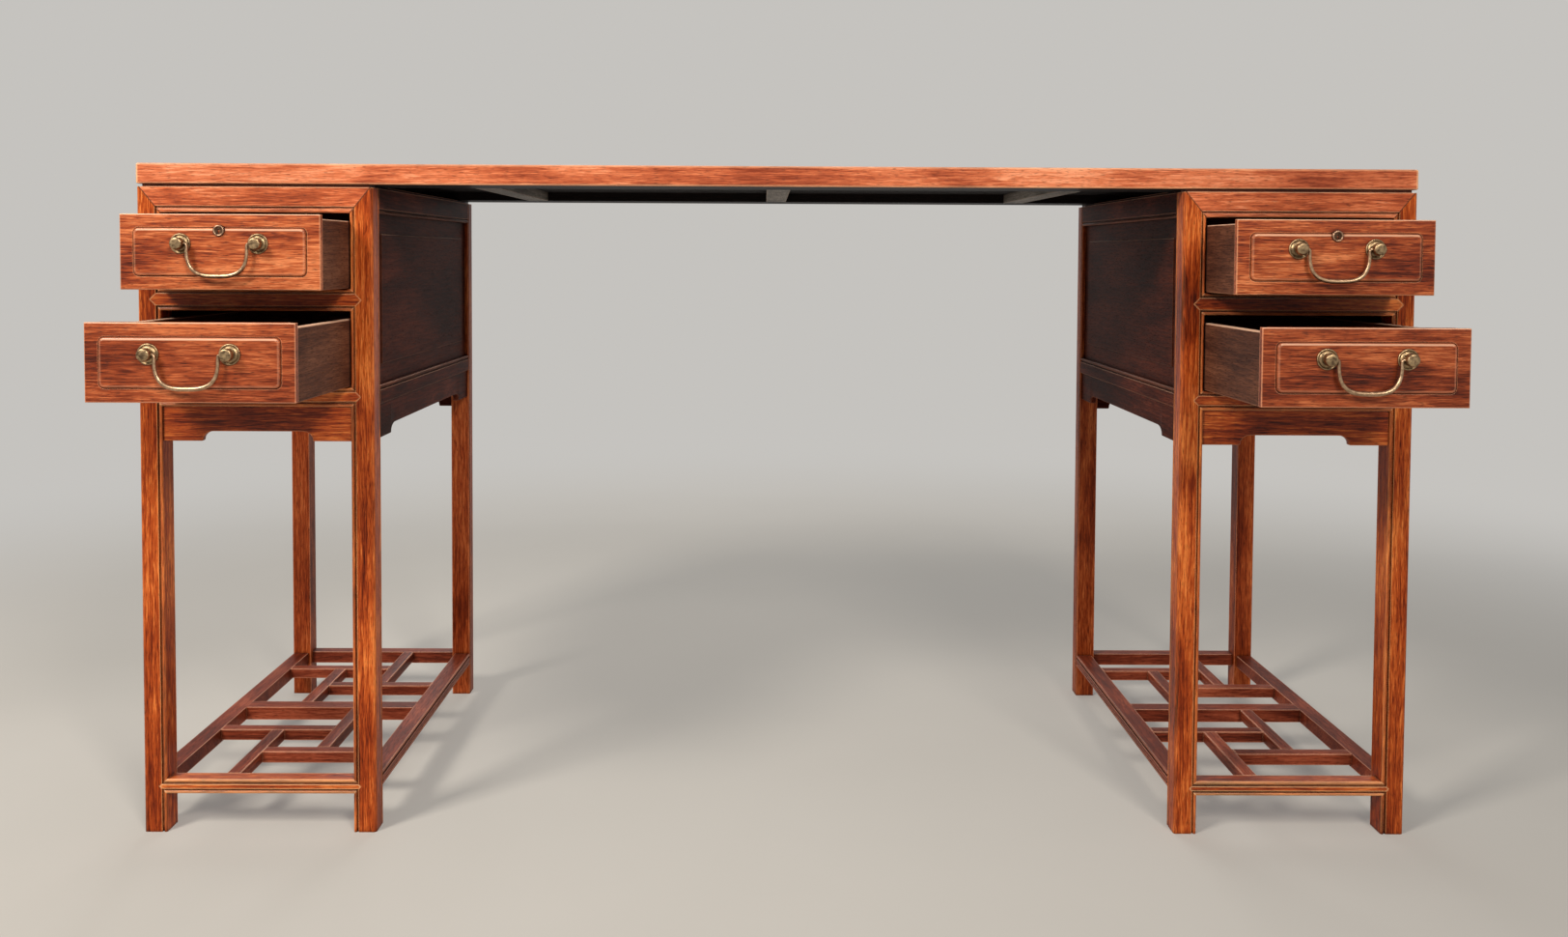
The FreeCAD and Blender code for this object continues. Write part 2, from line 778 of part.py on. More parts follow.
def desk_top():
    top_base = s.pedestal_height
    panel_x = left_end + s.top_frame_width
    panel_y = front + s.top_frame_width
    panel_length = s.desk_length - 2 * s.top_frame_width
    panel_depth = s.desk_depth - 2 * s.top_frame_width
    panel_low = top_base + s.top_thickness - s.top_panel_thickness
    board = block("top_panel_board", (panel_x, panel_y, panel_low),
                  (panel_length, panel_depth, s.top_panel_thickness))
    tongue_low = top_base + s.top_thickness - s.top_tongue_drop - s.top_tongue_thickness
    tongue = block(
        "top_panel_tongue", (panel_x - s.top_tongue_length, panel_y - s.top_tongue_length, tongue_low),
        (panel_length + 2 * s.top_tongue_length, panel_depth + 2 * s.top_tongue_length,
         s.top_tongue_thickness))
    panel = keep("top_panel", fused("top_panel", [board, tongue]))

    battens = []
    for number, offset in enumerate((ZERO - s.batten_spacing, ZERO, s.batten_spacing)):
        bar = block(
            f"top_batten_bar_{number}", (offset - s.batten_width / 2, panel_y, top_base),
            (s.batten_width, panel_depth, s.top_thickness - s.top_panel_thickness))
        tenon = block(
            f"top_batten_tenon_{number}",
            (offset - s.batten_width / 2 + s.batten_tenon_shoulder, panel_y - s.batten_tenon_length,
             top_base + (s.top_thickness - s.top_panel_thickness - s.batten_tenon_thickness) / 2),
            (s.batten_width - 2 * s.batten_tenon_shoulder, panel_depth + 2 * s.batten_tenon_length,
             s.batten_tenon_thickness))
        battens.append(fused(f"top_batten_{number}", [bar, tenon]))
    keep("top_battens", grouped("top_battens", battens))

    long_rails = []
    for end, y_at, outline in (
            ("front", front, [
                (ZERO, ZERO),
                (s.desk_length, ZERO),
                (s.desk_length - s.top_frame_width, s.top_frame_width),
                (s.top_frame_width, s.top_frame_width)]),
            ("back", front + s.desk_depth - s.top_frame_width, [
                (s.top_frame_width, ZERO),
                (s.desk_length - s.top_frame_width, ZERO),
                (s.desk_length, s.top_frame_width),
                (ZERO, s.top_frame_width)])):
        body = new_body(f"top_{end}_rail_blank", (left_end, y_at, top_base))
        pad(body, new_sketch(body, "XY_Plane", [outline]), s.top_thickness)
        outer = 0.0 if end == "front" else s.top_frame_width.number
        rounded(body, straight_edges(body.Tip.Shape, ALONG_X, lambda point: near(point.y, outer)),
                s.top_edge_round)
        long_rails.append(cut(f"top_{end}_rail", body, [panel] + battens))
    keep("top_long_rails", grouped("top_long_rails", long_rails))

    end_rails = []
    for number, x_at, near_x, far_x in (
            (0, left_end, ZERO, s.top_frame_width),
            (1, s.desk_length / 2 - s.top_frame_width, s.top_frame_width, ZERO)):
        body = new_body(f"top_end_rail_blank_{number}", (x_at, front, top_base))
        outline = [
            (near_x, ZERO),
            (far_x, s.top_frame_width),
            (far_x, s.desk_depth - s.top_frame_width),
            (near_x, s.desk_depth)]
        pad(body, new_sketch(body, "XY_Plane", [outline]), s.top_thickness)
        outer = near_x.number
        rounded(body, straight_edges(body.Tip.Shape, ALONG_Y, lambda point: near(point.x, outer)),
                s.top_edge_round)
        end_rails.append(cut(f"top_end_rail_{number}", body, [panel]))
    keep("top_end_rails", grouped("top_end_rails", end_rails))


# Drawers

def drawer_front_board(name, corner, width, height):
    """A board with a raised field, round-cornered and soft-edged, on its face."""
    body = new_body(name, corner)
    board = [(ZERO, ZERO), (width, ZERO), (width, height), (ZERO, height)]
    pad(body, new_sketch(body, "XZ_Plane", [board]), s.drawer_front_thickness, reverse=True)
    face_edges = (
        straight_edges(body.Tip.Shape, ALONG_X, lambda point: near(point.y, 0.0))
        + straight_edges(body.Tip.Shape, ALONG_Z, lambda point: near(point.y, 0.0)))
    rounded(body, face_edges, s.drawer_front_arris)
    right, high = width - s.field_margin, height - s.field_margin
    field = [(s.field_margin, s.field_margin), (right, s.field_margin), (right, high), (s.field_margin, high)]
    pad(body, new_sketch(body, "XZ_Plane", [field]), s.field_raise)
    corner_edges = straight_edges(body.Tip.Shape, ALONG_Y, lambda point: point.y < 0.0)
    rounded(body, corner_edges, s.field_corner)
    raised = -s.field_raise.number
    rim = [
        f"Edge{number}" for number, edge in enumerate(body.Tip.Shape.Edges, start=1)
        if near(edge.BoundBox.YMin, raised) and near(edge.BoundBox.YMax, raised)
    ]
    rounded(body, rim, s.field_round)
    return body


def pull_post(name, x_at, face_y, z_at, board_back):
    """Rosette, stem and bored knob of a pull, turned in one piece."""
    centre_y = face_y - s.knob_reach
    stem = rod(name + "_stem", "y", (x_at, centre_y, z_at), s.stem_radius,
               board_back + s.nut_thickness - centre_y)
    rim = rod(name + "_rim", "y", (x_at, face_y - s.rosette_rim, z_at), s.rosette_radius, s.rosette_rim)
    dome = doc.addObject("Part::Cone", name + "_dome")
    dome.Placement.Rotation = TURN_TO["y"]
    bind(dome, "Radius1", s.stem_radius + s.rosette_rim)
    bind(dome, "Radius2", s.rosette_neck_radius)
    bind(dome, "Height", s.rosette_dome)
    place(dome, (x_at, face_y - s.rosette_rim - s.rosette_dome, z_at))
    knob = doc.addObject("Part::Sphere", name + "_knob")
    bind(knob, "Radius", s.knob_radius)
    place(knob, (x_at, centre_y, z_at))
    return fused(name + "_whole", [stem, rim, dome, knob])


def bail(name, x_middle, pivot_y, pivot_z):
    """A bent wire: a pin at each end, two legs and a flat bottom with wide corners."""
    wire = s.bail_wire_radius
    leg_x = s.pull_spacing / 2 - s.bail_inset
    elbow_z = pivot_z - s.bail_elbow
    corner_z = pivot_z - s.bail_drop + s.bail_corner
    pieces = [rod(
        name + "_bottom", "x", (x_middle - leg_x + s.bail_corner, pivot_y, pivot_z - s.bail_drop),
        wire, 2 * (leg_x - s.bail_corner))]
    pin_length = s.bail_inset - s.bail_elbow
    bends = (
        ("left_elbow", ZERO - leg_x - s.bail_elbow, elbow_z, s.bail_elbow, 0),
        ("left_corner", s.bail_corner - leg_x, corner_z, s.bail_corner, 180),
        ("right_elbow", leg_x + s.bail_elbow, elbow_z, s.bail_elbow, -90),
        ("right_corner", leg_x - s.bail_corner, corner_z, s.bail_corner, 90),
    )
    for bend, offset, z_at, radius, turn in bends:
        torus = doc.addObject("Part::Torus", f"{name}_{bend}")
        torus.Angle3 = 90
        bind(torus, "Radius1", radius)
        bind(torus, "Radius2", wire)
        upright = FreeCAD.Rotation(FreeCAD.Vector(1, 0, 0), 90)
        torus.Placement.Rotation = FreeCAD.Rotation(FreeCAD.Vector(0, 1, 0), turn).multiply(upright)
        place(torus, (x_middle + offset, pivot_y, z_at))
        pieces.append(torus)
    for number, (leg_at, pin_at) in enumerate((
            (ZERO - leg_x, ZERO - s.pull_spacing / 2), (leg_x, leg_x + s.bail_elbow))):
        pieces.append(rod(f"{name}_leg_{number}", "z", (x_middle + leg_at, pivot_y, corner_z),
                          wire, elbow_z - corner_z))
        pieces.append(rod(f"{name}_pin_{number}", "x", (x_middle + pin_at, pivot_y, pivot_z),
                          wire, pin_length))
    return fused(name, pieces)


def lock_and_bolt(name, x_middle, y_start, z_top, field_top):
    """Lock case let into the back of the front board, round key plate in its face, sliding bolt."""
    case = block(
        name + "_case",
        (x_middle - s.lock_width / 2, y_start + s.drawer_front_thickness - s.lock_depth,
         z_top - s.lock_height),
        (s.lock_width, s.lock_depth, s.lock_height))
    bolt_y = y_start + s.drawer_front_thickness - s.lock_depth / 2 - s.bolt_thickness / 2
    channel = block(
        name + "_channel",
        (x_middle - s.bolt_width / 2 - s.bolt_gap, bolt_y - s.bolt_gap,
         z_top - s.bolt_length - s.bolt_gap),
        (s.bolt_width + 2 * s.bolt_gap, s.bolt_thickness + 2 * s.bolt_gap,
         s.bolt_length + s.bolt_gap + s.overrun))
    plate_z = field_top - s.lock_drop
    plate = rod(
        name + "_plate_disc", "y", (x_middle, y_start - s.field_raise - s.lock_plate_proud, plate_z),
        s.lock_plate_radius, s.field_raise + s.lock_plate_proud + s.lock_plate_inlay)
    hole_start = y_start - s.field_raise - s.lock_plate_proud - s.overrun
    hole_run = y_start + s.drawer_front_thickness - s.lock_depth - hole_start
    hole = rod(name + "_keyhole_round", "y", (x_middle, hole_start, plate_z), s.keyhole_radius, hole_run)
    slot = block(
        name + "_keyhole_slot",
        (x_middle - s.keyhole_slot_width / 2, hole_start, plate_z - s.keyhole_slot_length),
        (s.keyhole_slot_width, hole_run, s.keyhole_slot_length))
    keyhole = fused(name + "_keyhole", [hole, slot])
    keep(name, grouped(name, [
        cut(name + "_hollow_case", case, [channel]),
        cut(name + "_plate", plate, [keyhole])]))
    keep(name + "_bolt", block(
        name + "_bolt", (x_middle - s.bolt_width / 2, bolt_y, z_top - s.bolt_length),
        (s.bolt_width, s.bolt_thickness, s.bolt_length)))
    return [case, plate, keyhole]


def drawer(side, level):
    """A drawer as it stands in the photograph, pulled part of the way out."""
    name = f"{level}_{side}_drawer"
    upper = level == "upper"
    rail_top = mid_rail_top if upper else lower_rail_top
    opening_height = s.upper_opening_height if upper else s.lower_opening_height
    out = s.upper_drawer_out if upper else s.lower_drawer_out
    width = opening_width - 2 * s.drawer_side_gap
    height = opening_height - s.drawer_bottom_gap - s.drawer_top_gap
    x_at = pedestal_start[side] + s.leg_size + s.drawer_side_gap
    y_at = front - out
    z_at = rail_top + s.drawer_bottom_gap
    x_middle = pedestal_start[side] + s.pedestal_width / 2
    side_height = height - s.drawer_side_drop
    board_back = y_at + s.drawer_front_thickness

    # bottom board, let into the front and the sides
    bottom_inset = s.drawer_side_thickness - s.drawer_bottom_tongue
    bottom_start = board_back - s.drawer_bottom_tongue
    bottom_z = z_at + s.drawer_bottom_raise
    bottom = keep(f"{name}_bottom", block(
        f"{name}_bottom", (x_at + bottom_inset, bottom_start, bottom_z),
        (width - 2 * bottom_inset, y_at + s.drawer_length - bottom_start, s.drawer_bottom_thickness)))

    # sides, lapped into the front, and the back between them
    side_start = board_back - s.drawer_lap
    sides = []
    for number, across in enumerate((ZERO, width - s.drawer_side_thickness)):
        board = block(
            f"{name}_side_board_{number}", (x_at + across, side_start, z_at),
            (s.drawer_side_thickness, y_at + s.drawer_length - side_start, side_height))
        sides.append(cut(f"{name}_side_{number}", board, [bottom]))
    back_z = bottom_z + s.drawer_bottom_thickness
    back = block(
        f"{name}_back",
        (x_at + s.drawer_side_thickness, y_at + s.drawer_length - s.drawer_back_thickness, back_z),
        (width - 2 * s.drawer_side_thickness, s.drawer_back_thickness, z_at + side_height - back_z))
    keep(f"{name}_box", grouped(f"{name}_box", sides + [back]))

    # pull: two posts, their nuts and the bail between them
    face_y = y_at - s.field_raise
    pivot_y = face_y - s.knob_reach
    pivot_z = z_at + height / 2 + s.pull_rise
    bore_run = s.knob_radius + s.bail_bore_past + s.overrun
    posts = []
    stems = []
    for number, (offset, bore_offset) in enumerate((
            (s.pull_spacing / -2, s.pull_spacing / -2 - s.bail_bore_past),
            (s.pull_spacing / 2, s.pull_spacing / 2 + s.bail_bore_past - bore_run))):
        post = pull_post(f"{name}_post_{number}", x_middle + offset, face_y, pivot_z, board_back)
        bore = rod(f"{name}_bore_{number}", "x", (x_middle + bore_offset, pivot_y, pivot_z),
                   s.bail_wire_radius + s.bail_fit, bore_run)
        posts.append(cut(f"{name}_post_{number}", post, [bore]))
        stem = rod(f"{name}_stem_hole_{number}", "y", (x_middle + offset, face_y, pivot_z),
                   s.stem_radius, board_back + s.nut_thickness - face_y)
        stems.append(stem)
        nut = rod(f"{name}_nut_disc_{number}", "y", (x_middle + offset, board_back, pivot_z),
                  s.nut_radius, s.nut_thickness)
        posts.append(cut(f"{name}_nut_{number}", nut, [stem]))
    keep(f"{name}_pull_posts", grouped(f"{name}_pull_posts", posts))
    keep(f"{name}_bail", bail(f"{name}_bail", x_middle, pivot_y, pivot_z))

    # front board, cut for the sides, the bottom, the stems and the lock
    tools = sides + [bottom] + stems
    if upper:
        tools += lock_and_bolt(f"{name}_lock", x_middle, y_at, z_at + height, z_at + height - s.field_margin)
    board = drawer_front_board(f"{name}_front_board", (x_at, y_at, z_at), width, height)
    keep(f"{name}_front", cut(f"{name}_front", board, tools))


# The desk

desk_top()
for desk_side in ("left", "right"):
    pedestal(desk_side)
    for drawer_level in ("upper", "lower"):
        drawer(desk_side, drawer_level)
doc.recompute()

failed = [item.Name for item in doc.Objects if {"Invalid", "Error"} & set(item.State)]
failed += [
    node for node, item in SUBPARTS.items()
    if item.Shape.isNull() or not item.Shape.isValid() or not item.Shape.Solids
]
if failed:
    raise RuntimeError("not built: " + ", ".join(failed))

os.makedirs("parts", exist_ok=True)
for node, item in SUBPARTS.items():
    item.Shape.exportStep(f"parts/{node}.step")
    print(node, len(item.Shape.Solids))
print(len(SUBPARTS), "sub-parts,", sum(len(item.Shape.Solids) for item in SUBPARTS.values()), "solids")
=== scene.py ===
import bpy
import numpy as np
from mathutils import Matrix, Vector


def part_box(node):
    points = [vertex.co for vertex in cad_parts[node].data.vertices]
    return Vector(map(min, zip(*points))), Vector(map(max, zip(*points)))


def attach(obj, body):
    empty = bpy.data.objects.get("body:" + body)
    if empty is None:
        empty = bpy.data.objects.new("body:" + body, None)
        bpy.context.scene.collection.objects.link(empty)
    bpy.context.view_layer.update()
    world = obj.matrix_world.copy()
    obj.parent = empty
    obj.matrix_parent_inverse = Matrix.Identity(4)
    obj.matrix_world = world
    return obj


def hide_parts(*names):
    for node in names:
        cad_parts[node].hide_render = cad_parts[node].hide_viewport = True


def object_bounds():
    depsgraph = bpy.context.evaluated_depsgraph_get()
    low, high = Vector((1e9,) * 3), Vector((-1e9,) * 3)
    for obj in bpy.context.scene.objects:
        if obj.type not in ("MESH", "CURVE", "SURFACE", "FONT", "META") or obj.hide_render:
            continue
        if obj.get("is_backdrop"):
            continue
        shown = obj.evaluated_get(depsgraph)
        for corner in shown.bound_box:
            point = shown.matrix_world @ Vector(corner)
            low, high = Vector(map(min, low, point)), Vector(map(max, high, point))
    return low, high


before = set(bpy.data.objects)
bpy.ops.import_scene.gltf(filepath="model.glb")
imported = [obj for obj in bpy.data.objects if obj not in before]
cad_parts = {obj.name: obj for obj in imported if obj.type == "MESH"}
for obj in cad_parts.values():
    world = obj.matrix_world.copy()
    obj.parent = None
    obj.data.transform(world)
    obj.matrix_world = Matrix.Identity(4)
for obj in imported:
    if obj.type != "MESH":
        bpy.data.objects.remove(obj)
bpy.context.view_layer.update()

# Posts
# The eight square legs, of a dense reddish-brown hardwood with fine dark pores, oiled and rubbed bright, their
# edges brightened by painted highlights; the back legs are coloured darker as painted shade.
# Each is planed square, its inner edges beaded, and notched for the pointed ends of the rails.


def shader_node(tree, kind, inputs=None, **settings):
    """Adds a node to a material: settings are its own choices, inputs fill its sockets by name."""
    made = tree.nodes.new(kind)
    for key, value in settings.items():
        setattr(made, key, value)
    for key, value in (inputs or {}).items():
        if isinstance(value, bpy.types.NodeSocket):
            tree.links.new(value, made.inputs[key])
        else:
            made.inputs[key].default_value = value
    return made


def tint(red, green, blue):
    """A colour given in display values from 0 to 255, as linear light: ((c + 0.055) / 1.055) to the power 2.4."""
    shown = np.array([red, green, blue]) / 255
    linear = np.where(shown > 0.04045, ((shown + 0.055) / 1.055) ** 2.4, shown / 12.92)
    return (*linear.tolist(), 1.0)


def grey(level):
    """The same level in all three channels, for masks."""
    return (level, level, level, 1.0)


def ramp(tree, value, stops):
    """A colour ramp through (position, colour) stops in rising order."""
    made = shader_node(tree, "ShaderNodeValToRGB", {"Fac": value})
    held = made.color_ramp.elements
    held.remove(held[1])
    held[0].position, held[0].color = stops[0]
    for position, colour in stops[1:]:
        held.new(position).color = colour
    return made.outputs["Color"]


def number(tree, operation, first, second=0.0, third=0.0):
    """One step of arithmetic on values, such as ADD or MULTIPLY."""
    made = tree.nodes.new("ShaderNodeMath")
    made.operation = operation
    for socket, value in zip(made.inputs, (first, second, third)):
        if isinstance(value, bpy.types.NodeSocket):
            tree.links.new(value, socket)
        else:
            socket.default_value = value
    return made.outputs[0]


def lay_over(tree, under, over, share):
    """One colour laid over another: under * (1 - share) + over * share."""
    inputs = {"Factor": share, "A": under, "B": over}
    return shader_node(tree, "ShaderNodeMix", inputs, data_type="RGBA").outputs["Result"]


def bare_material(name):
    """A new material, with its node tree still empty."""
    material = bpy.data.materials.new(name)
    material.use_nodes = True
    material.node_tree.nodes.clear()
    return material, material.node_tree


def fibre_place(tree, grain, turned_past=None):
    """Where a point lies in its board, with the way of the fibres first.

    grain is x, y or z, or "piece" for members that carry a grain attribute. turned_past is (middle, half):
    members whose distance from x = +-middle passes half run front to back instead.
    """
    if grain == "piece":
        return shader_node(tree, "ShaderNodeAttribute", attribute_name="grain").outputs["Vector"]
    place = shader_node(tree, "ShaderNodeTexCoord").outputs["Object"]
    split = shader_node(tree, "ShaderNodeSeparateXYZ", {"Vector": place}).outputs
    turned = {}
    for way, order in (("x", "XYZ"), ("y", "YZX"), ("z", "ZXY")):
        parts = dict(zip("XYZ", (split[axis] for axis in order)))
        turned[way] = shader_node(tree, "ShaderNodeCombineXYZ", parts).outputs["Vector"]
    if turned_past is None:
        return turned[grain]
    middle, half = turned_past
    from_middle = number(tree, "ABSOLUTE", number(tree, "SUBTRACT", number(tree, "ABSOLUTE", split["X"]), middle))
    beyond = number(tree, "GREATER_THAN", from_middle, half)
    inputs = {"Factor": beyond, "A": turned[grain], "B": turned["y"]}
    return shader_node(tree, "ShaderNodeMix", inputs, data_type="VECTOR").outputs["Result"]


def stretched_noise(tree, place, along, across, detail, distortion=0.0):
    """Noise drawn out along the fibres: along and across are its counts per metre."""
    scaled = shader_node(tree, "ShaderNodeMapping", {"Vector": place, "Scale": (along, across, across)})
    noise = shader_node(tree, "ShaderNodeTexNoise", {
        "Vector": scaled.outputs["Vector"], "Scale": 1.0, "Detail": detail, "Distortion": distortion})
    return noise.outputs["Fac"]


def mitre_line(tree, middle, half, top, run, rise, face):
    """How near a point of the front lies to a mitre: 1 on its line, 0 from a millimetre away.

    Each mitre falls inward from the corner (middle +- half, top) by rise over a width of run, and its distance is
    ((half - from middle) * rise - (top - z) * run) / hypot(run, rise). Only points in front of y = face count.
    """
    line_core, line_reach = 0.0004, 0.001
    place = shader_node(tree, "ShaderNodeTexCoord").outputs["Object"]
    split = shader_node(tree, "ShaderNodeSeparateXYZ", {"Vector": place}).outputs
    from_middle = number(tree, "ABSOLUTE", number(tree, "SUBTRACT", number(tree, "ABSOLUTE", split["X"]), middle))
    slope = np.array([rise, run]) / np.hypot(run, rise)
    inward = number(tree, "MULTIPLY", number(tree, "SUBTRACT", half, from_middle), slope[0])
    down = number(tree, "MULTIPLY", number(tree, "SUBTRACT", top, split["Z"]), slope[1])
    away = number(tree, "ABSOLUTE", number(tree, "SUBTRACT", inward, down))
    near = shader_node(tree, "ShaderNodeMapRange", {
        "Value": away, "From Min": line_reach, "From Max": line_core}).outputs["Result"]
    return number(tree, "MULTIPLY", near, number(tree, "LESS_THAN", split["Y"], face))


def edge_strength(tree, reach, gain):
    """How strongly a point lies on an edge, gain * (1 - rounded normal . face normal), and the normal rounded over the
    reach.
    """
    rounded = shader_node(tree, "ShaderNodeBevel", {"Radius": reach}, samples=4).outputs["Normal"]
    face_normal = shader_node(tree, "ShaderNodeNewGeometry").outputs["Normal"]
    facing = shader_node(tree, "ShaderNodeVectorMath", {0: rounded, 1: face_normal}, operation="DOT_PRODUCT")
    return number(tree, "MULTIPLY", number(tree, "SUBTRACT", 1.0, facing.outputs["Value"]), gain), rounded


def wear_highlight_and_shade(tree, colour, figure, palest_tone, wear, rub_reach, mitres):
    """Wear and painted light on a wood's colour: edges worn pale and brightened as painted highlight, those facing up
    given a painted cream highlight, hollows darkened as painted shade and mitres dark as joint lines.

    wear_and_highlight = open * (edge + given) * (figure + figure_floor), where open falls to 0 in hollows and on
    mitres. top_highlight = open * (wear_and_highlight * how far it faces up + given). The wear_and_highlight
    attribute gives each point's given share of wear and painted highlight.
    """
    edge_gain, figure_floor, most_rubbed = 13.0, 0.15, 0.85
    most_top_highlight, top_highlight_share = 1.2, 0.55
    hollow_reach, hollow_end, open_start = 0.007, 0.6, 0.88
    edge, rounded = edge_strength(tree, rub_reach, edge_gain * wear)
    given_wear_and_highlight = shader_node(tree, "ShaderNodeAttribute", attribute_name="wear_and_highlight").outputs["Fac"]
    edge = number(tree, "ADD", edge, given_wear_and_highlight)
    hollow = shader_node(tree, "ShaderNodeAmbientOcclusion", {"Distance": hollow_reach}, samples=6).outputs["AO"]
    open_to_hands = shader_node(tree, "ShaderNodeMapRange", {
        "Value": hollow, "From Min": hollow_end, "From Max": open_start}).outputs["Result"]
    # painted shade: darker where ambient occlusion within 7 mm finds a hollow; the mitres' dark joint lines join it
    # below
    hollow_shade_and_joints = ramp(tree, hollow, [(0.35, grey(0.85)), (0.82, grey(0.0))])
    if mitres is not None:
        joint, joint_wax = mitre_line(tree, *mitres), 0.7
        open_to_hands = number(tree, "MULTIPLY", open_to_hands, number(tree, "SUBTRACT", 1.0, joint))
        hollow_shade_and_joints = number(tree, "MAXIMUM", hollow_shade_and_joints, number(tree, "MULTIPLY", joint, joint_wax))
    edge = number(tree, "MULTIPLY", edge, open_to_hands)
    uneven = number(tree, "MULTIPLY", edge, number(tree, "ADD", figure, figure_floor))
    # edges worn pale and brightened further: partly real wear, partly painted highlight
    wear_and_highlight = number(tree, "MINIMUM", uneven, most_rubbed)
    worn_and_lit_colour = np.array(palest_tone) * 0.95 + np.array(tint(240, 176, 138)) * 0.3 * wear
    colour = lay_over(tree, colour, (*np.minimum(worn_and_lit_colour[:3], 0.9).tolist(), 1.0), wear_and_highlight)
    # painted highlight: a cream glint on the edges that face up, where light falls from above
    upward = shader_node(tree, "ShaderNodeSeparateXYZ", {"Vector": rounded}).outputs["Z"]
    top_highlight = number(tree, "MULTIPLY_ADD", wear_and_highlight, number(tree, "MAXIMUM", upward, 0.0), given_wear_and_highlight)
    top_highlight = number(tree, "MULTIPLY", number(tree, "MINIMUM", top_highlight, most_top_highlight), open_to_hands)
    colour = lay_over(tree, colour, tint(247, 207, 176), number(tree, "MULTIPLY", top_highlight, top_highlight_share))
    # the painted shade of the hollows and the dark joint lines, laid on last
    return lay_over(tree, colour, tint(32, 9, 4), hollow_shade_and_joints)


def hardwood(name, grain, tones, roughness=0.36, polish=0.14, shine=0.18, wear=1.0, rub_reach=0.0016,
             turned_past=None, lacquered_inside=None, board_width=0.0, mitres=None):
    """Solid hardwood: cloudy figure, growth rings, long streaks and short dark pores, with worn edges, painted
    highlights and painted shade.

    tone = clouds + figure + streaks + rings, a weighted sum; a ramp through the four tones turns it into colour,
    and pores darken it. Wear with painted highlights, and painted shade in hollows, come over that, rub_reach wide
    on the edges, with a dark joint line where mitres says, which holds the last six values of mitre_line.
    board_width divides a panel into boards.
    lacquered_inside is (x, front y, back y, z): what lies within that outline and below that height is black.
    """
    clouds_weight, figure_weight, streaks_weight, rings_weight = 0.43, 0.17, 0.35, 0.05
    tone_steps = (0.38, 0.462, 0.532, 0.615)
    pore_share, pore_level = 0.65, 0.28
    ring_spacing, ring_bend = (0.0, 900.0, 700.0), 18.0
    streak_gloss, pore_gloss, lacquer_gloss = 0.16, 0.18, 0.5
    material, tree = bare_material(name)
    place = fibre_place(tree, grain, turned_past)
    if board_width:
        place = board_by_board(tree, place, board_width)
    clouds = stretched_noise(tree, place, along=5.0, across=17.0, detail=3.0, distortion=0.6)
    figure = stretched_noise(tree, place, along=10.0, across=120.0, detail=5.0, distortion=1.6)
    streaks = stretched_noise(tree, place, along=40.0, across=880.0, detail=3.0, distortion=0.8)
    pores = stretched_noise(tree, place, along=110.0, across=1300.0, detail=2.0)
    across = shader_node(tree, "ShaderNodeVectorMath", {0: place, 1: ring_spacing}, operation="DOT_PRODUCT")
    wave = number(tree, "SINE", number(tree, "MULTIPLY_ADD", figure, ring_bend, across.outputs["Value"]))
    rings = number(tree, "MULTIPLY_ADD", wave, 0.5, 0.5)
    tone = number(tree, "MULTIPLY", clouds, clouds_weight)
    for part, weight in ((figure, figure_weight), (streaks, streaks_weight), (rings, rings_weight)):
        tone = number(tree, "MULTIPLY_ADD", part, weight, tone)
    colour = ramp(tree, tone, list(zip(tone_steps, tones)))
    pore_mask = ramp(tree, pores, [(0.56, grey(0.0)), (0.68, grey(1.0))])
    pore_colour = (*(pore_level * channel for channel in tones[0][:3]), 1.0)
    colour = lay_over(tree, colour, pore_colour, number(tree, "MULTIPLY", pore_mask, pore_share))
    colour = wear_highlight_and_shade(tree, colour, figure, tones[-1], wear, rub_reach, mitres)
    gloss = number(tree, "MULTIPLY_ADD", streaks, streak_gloss, roughness - streak_gloss / 2)
    gloss = number(tree, "MULTIPLY_ADD", pore_mask, pore_gloss, gloss)
    if lacquered_inside is not None:
        inside = lacquer_mask(tree, *lacquered_inside)
        lacquer = ramp(tree, streaks, [(0.4, tint(12, 7, 6)), (0.7, tint(30, 20, 17))])
        colour = lay_over(tree, colour, lacquer, inside)
        gloss = number(tree, "MULTIPLY_ADD", inside, lacquer_gloss, gloss)
    height = number(tree, "MULTIPLY_ADD", pore_mask, -0.7, number(tree, "MULTIPLY", streaks, 0.6))
    softened = shader_node(tree, "ShaderNodeBevel", {"Radius": 0.0007}, samples=4).outputs["Normal"]
    bump = shader_node(tree, "ShaderNodeBump", {
        "Strength": 0.32, "Distance": 0.0004, "Height": height, "Normal": softened})
    shader = shader_node(tree, "ShaderNodeBsdfPrincipled", {
        "Base Color": colour, "Roughness": gloss, "Normal": bump.outputs["Normal"], "IOR": 1.5,
        "Specular IOR Level": shine, "Coat Weight": polish, "Coat Roughness": 0.13, "Coat IOR": 1.4})
    shader_node(tree, "ShaderNodeOutputMaterial", {"Surface": shader.outputs["BSDF"]})
    return material


def dress(material, *nodes):
    """Gives the pieces that come from the construction model their finish."""
    for name in nodes:
        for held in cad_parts[name].material_slots:
            held.material = material


frame_tones = [tint(70, 19, 6), tint(138, 51, 17), tint(184, 82, 30), tint(230, 131, 63)]
# darker tones for the back legs: painted shade
back_post_shade_tones = [tint(74, 22, 8), tint(122, 46, 17), tint(156, 68, 29), tint(196, 106, 56)]
post_size = 0.028
front_face_depth = 0.0005
posts_low, posts_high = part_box("right_front_legs")
rail_low, rail_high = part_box("right_top_rail")
# how far each mitred frame's middle is from the desk's, half its width, its top, and the mitre's run, rise and face
front_mitres = (
    (posts_low[0] + posts_high[0]) / 2, (posts_high[0] - posts_low[0]) / 2, posts_high[2], post_size,
    rail_high[2] - rail_low[2], posts_low[1] + front_face_depth)
dress(hardwood("front_post_wood", "z", frame_tones, polish=0.06, shine=0.1, wear=1.5, mitres=front_mitres),
      "left_front_legs", "right_front_legs")
dress(hardwood("back_post_wood", "z", back_post_shade_tones, polish=0.04, shine=0.08, wear=1.5),
      "left_back_legs", "right_back_legs")
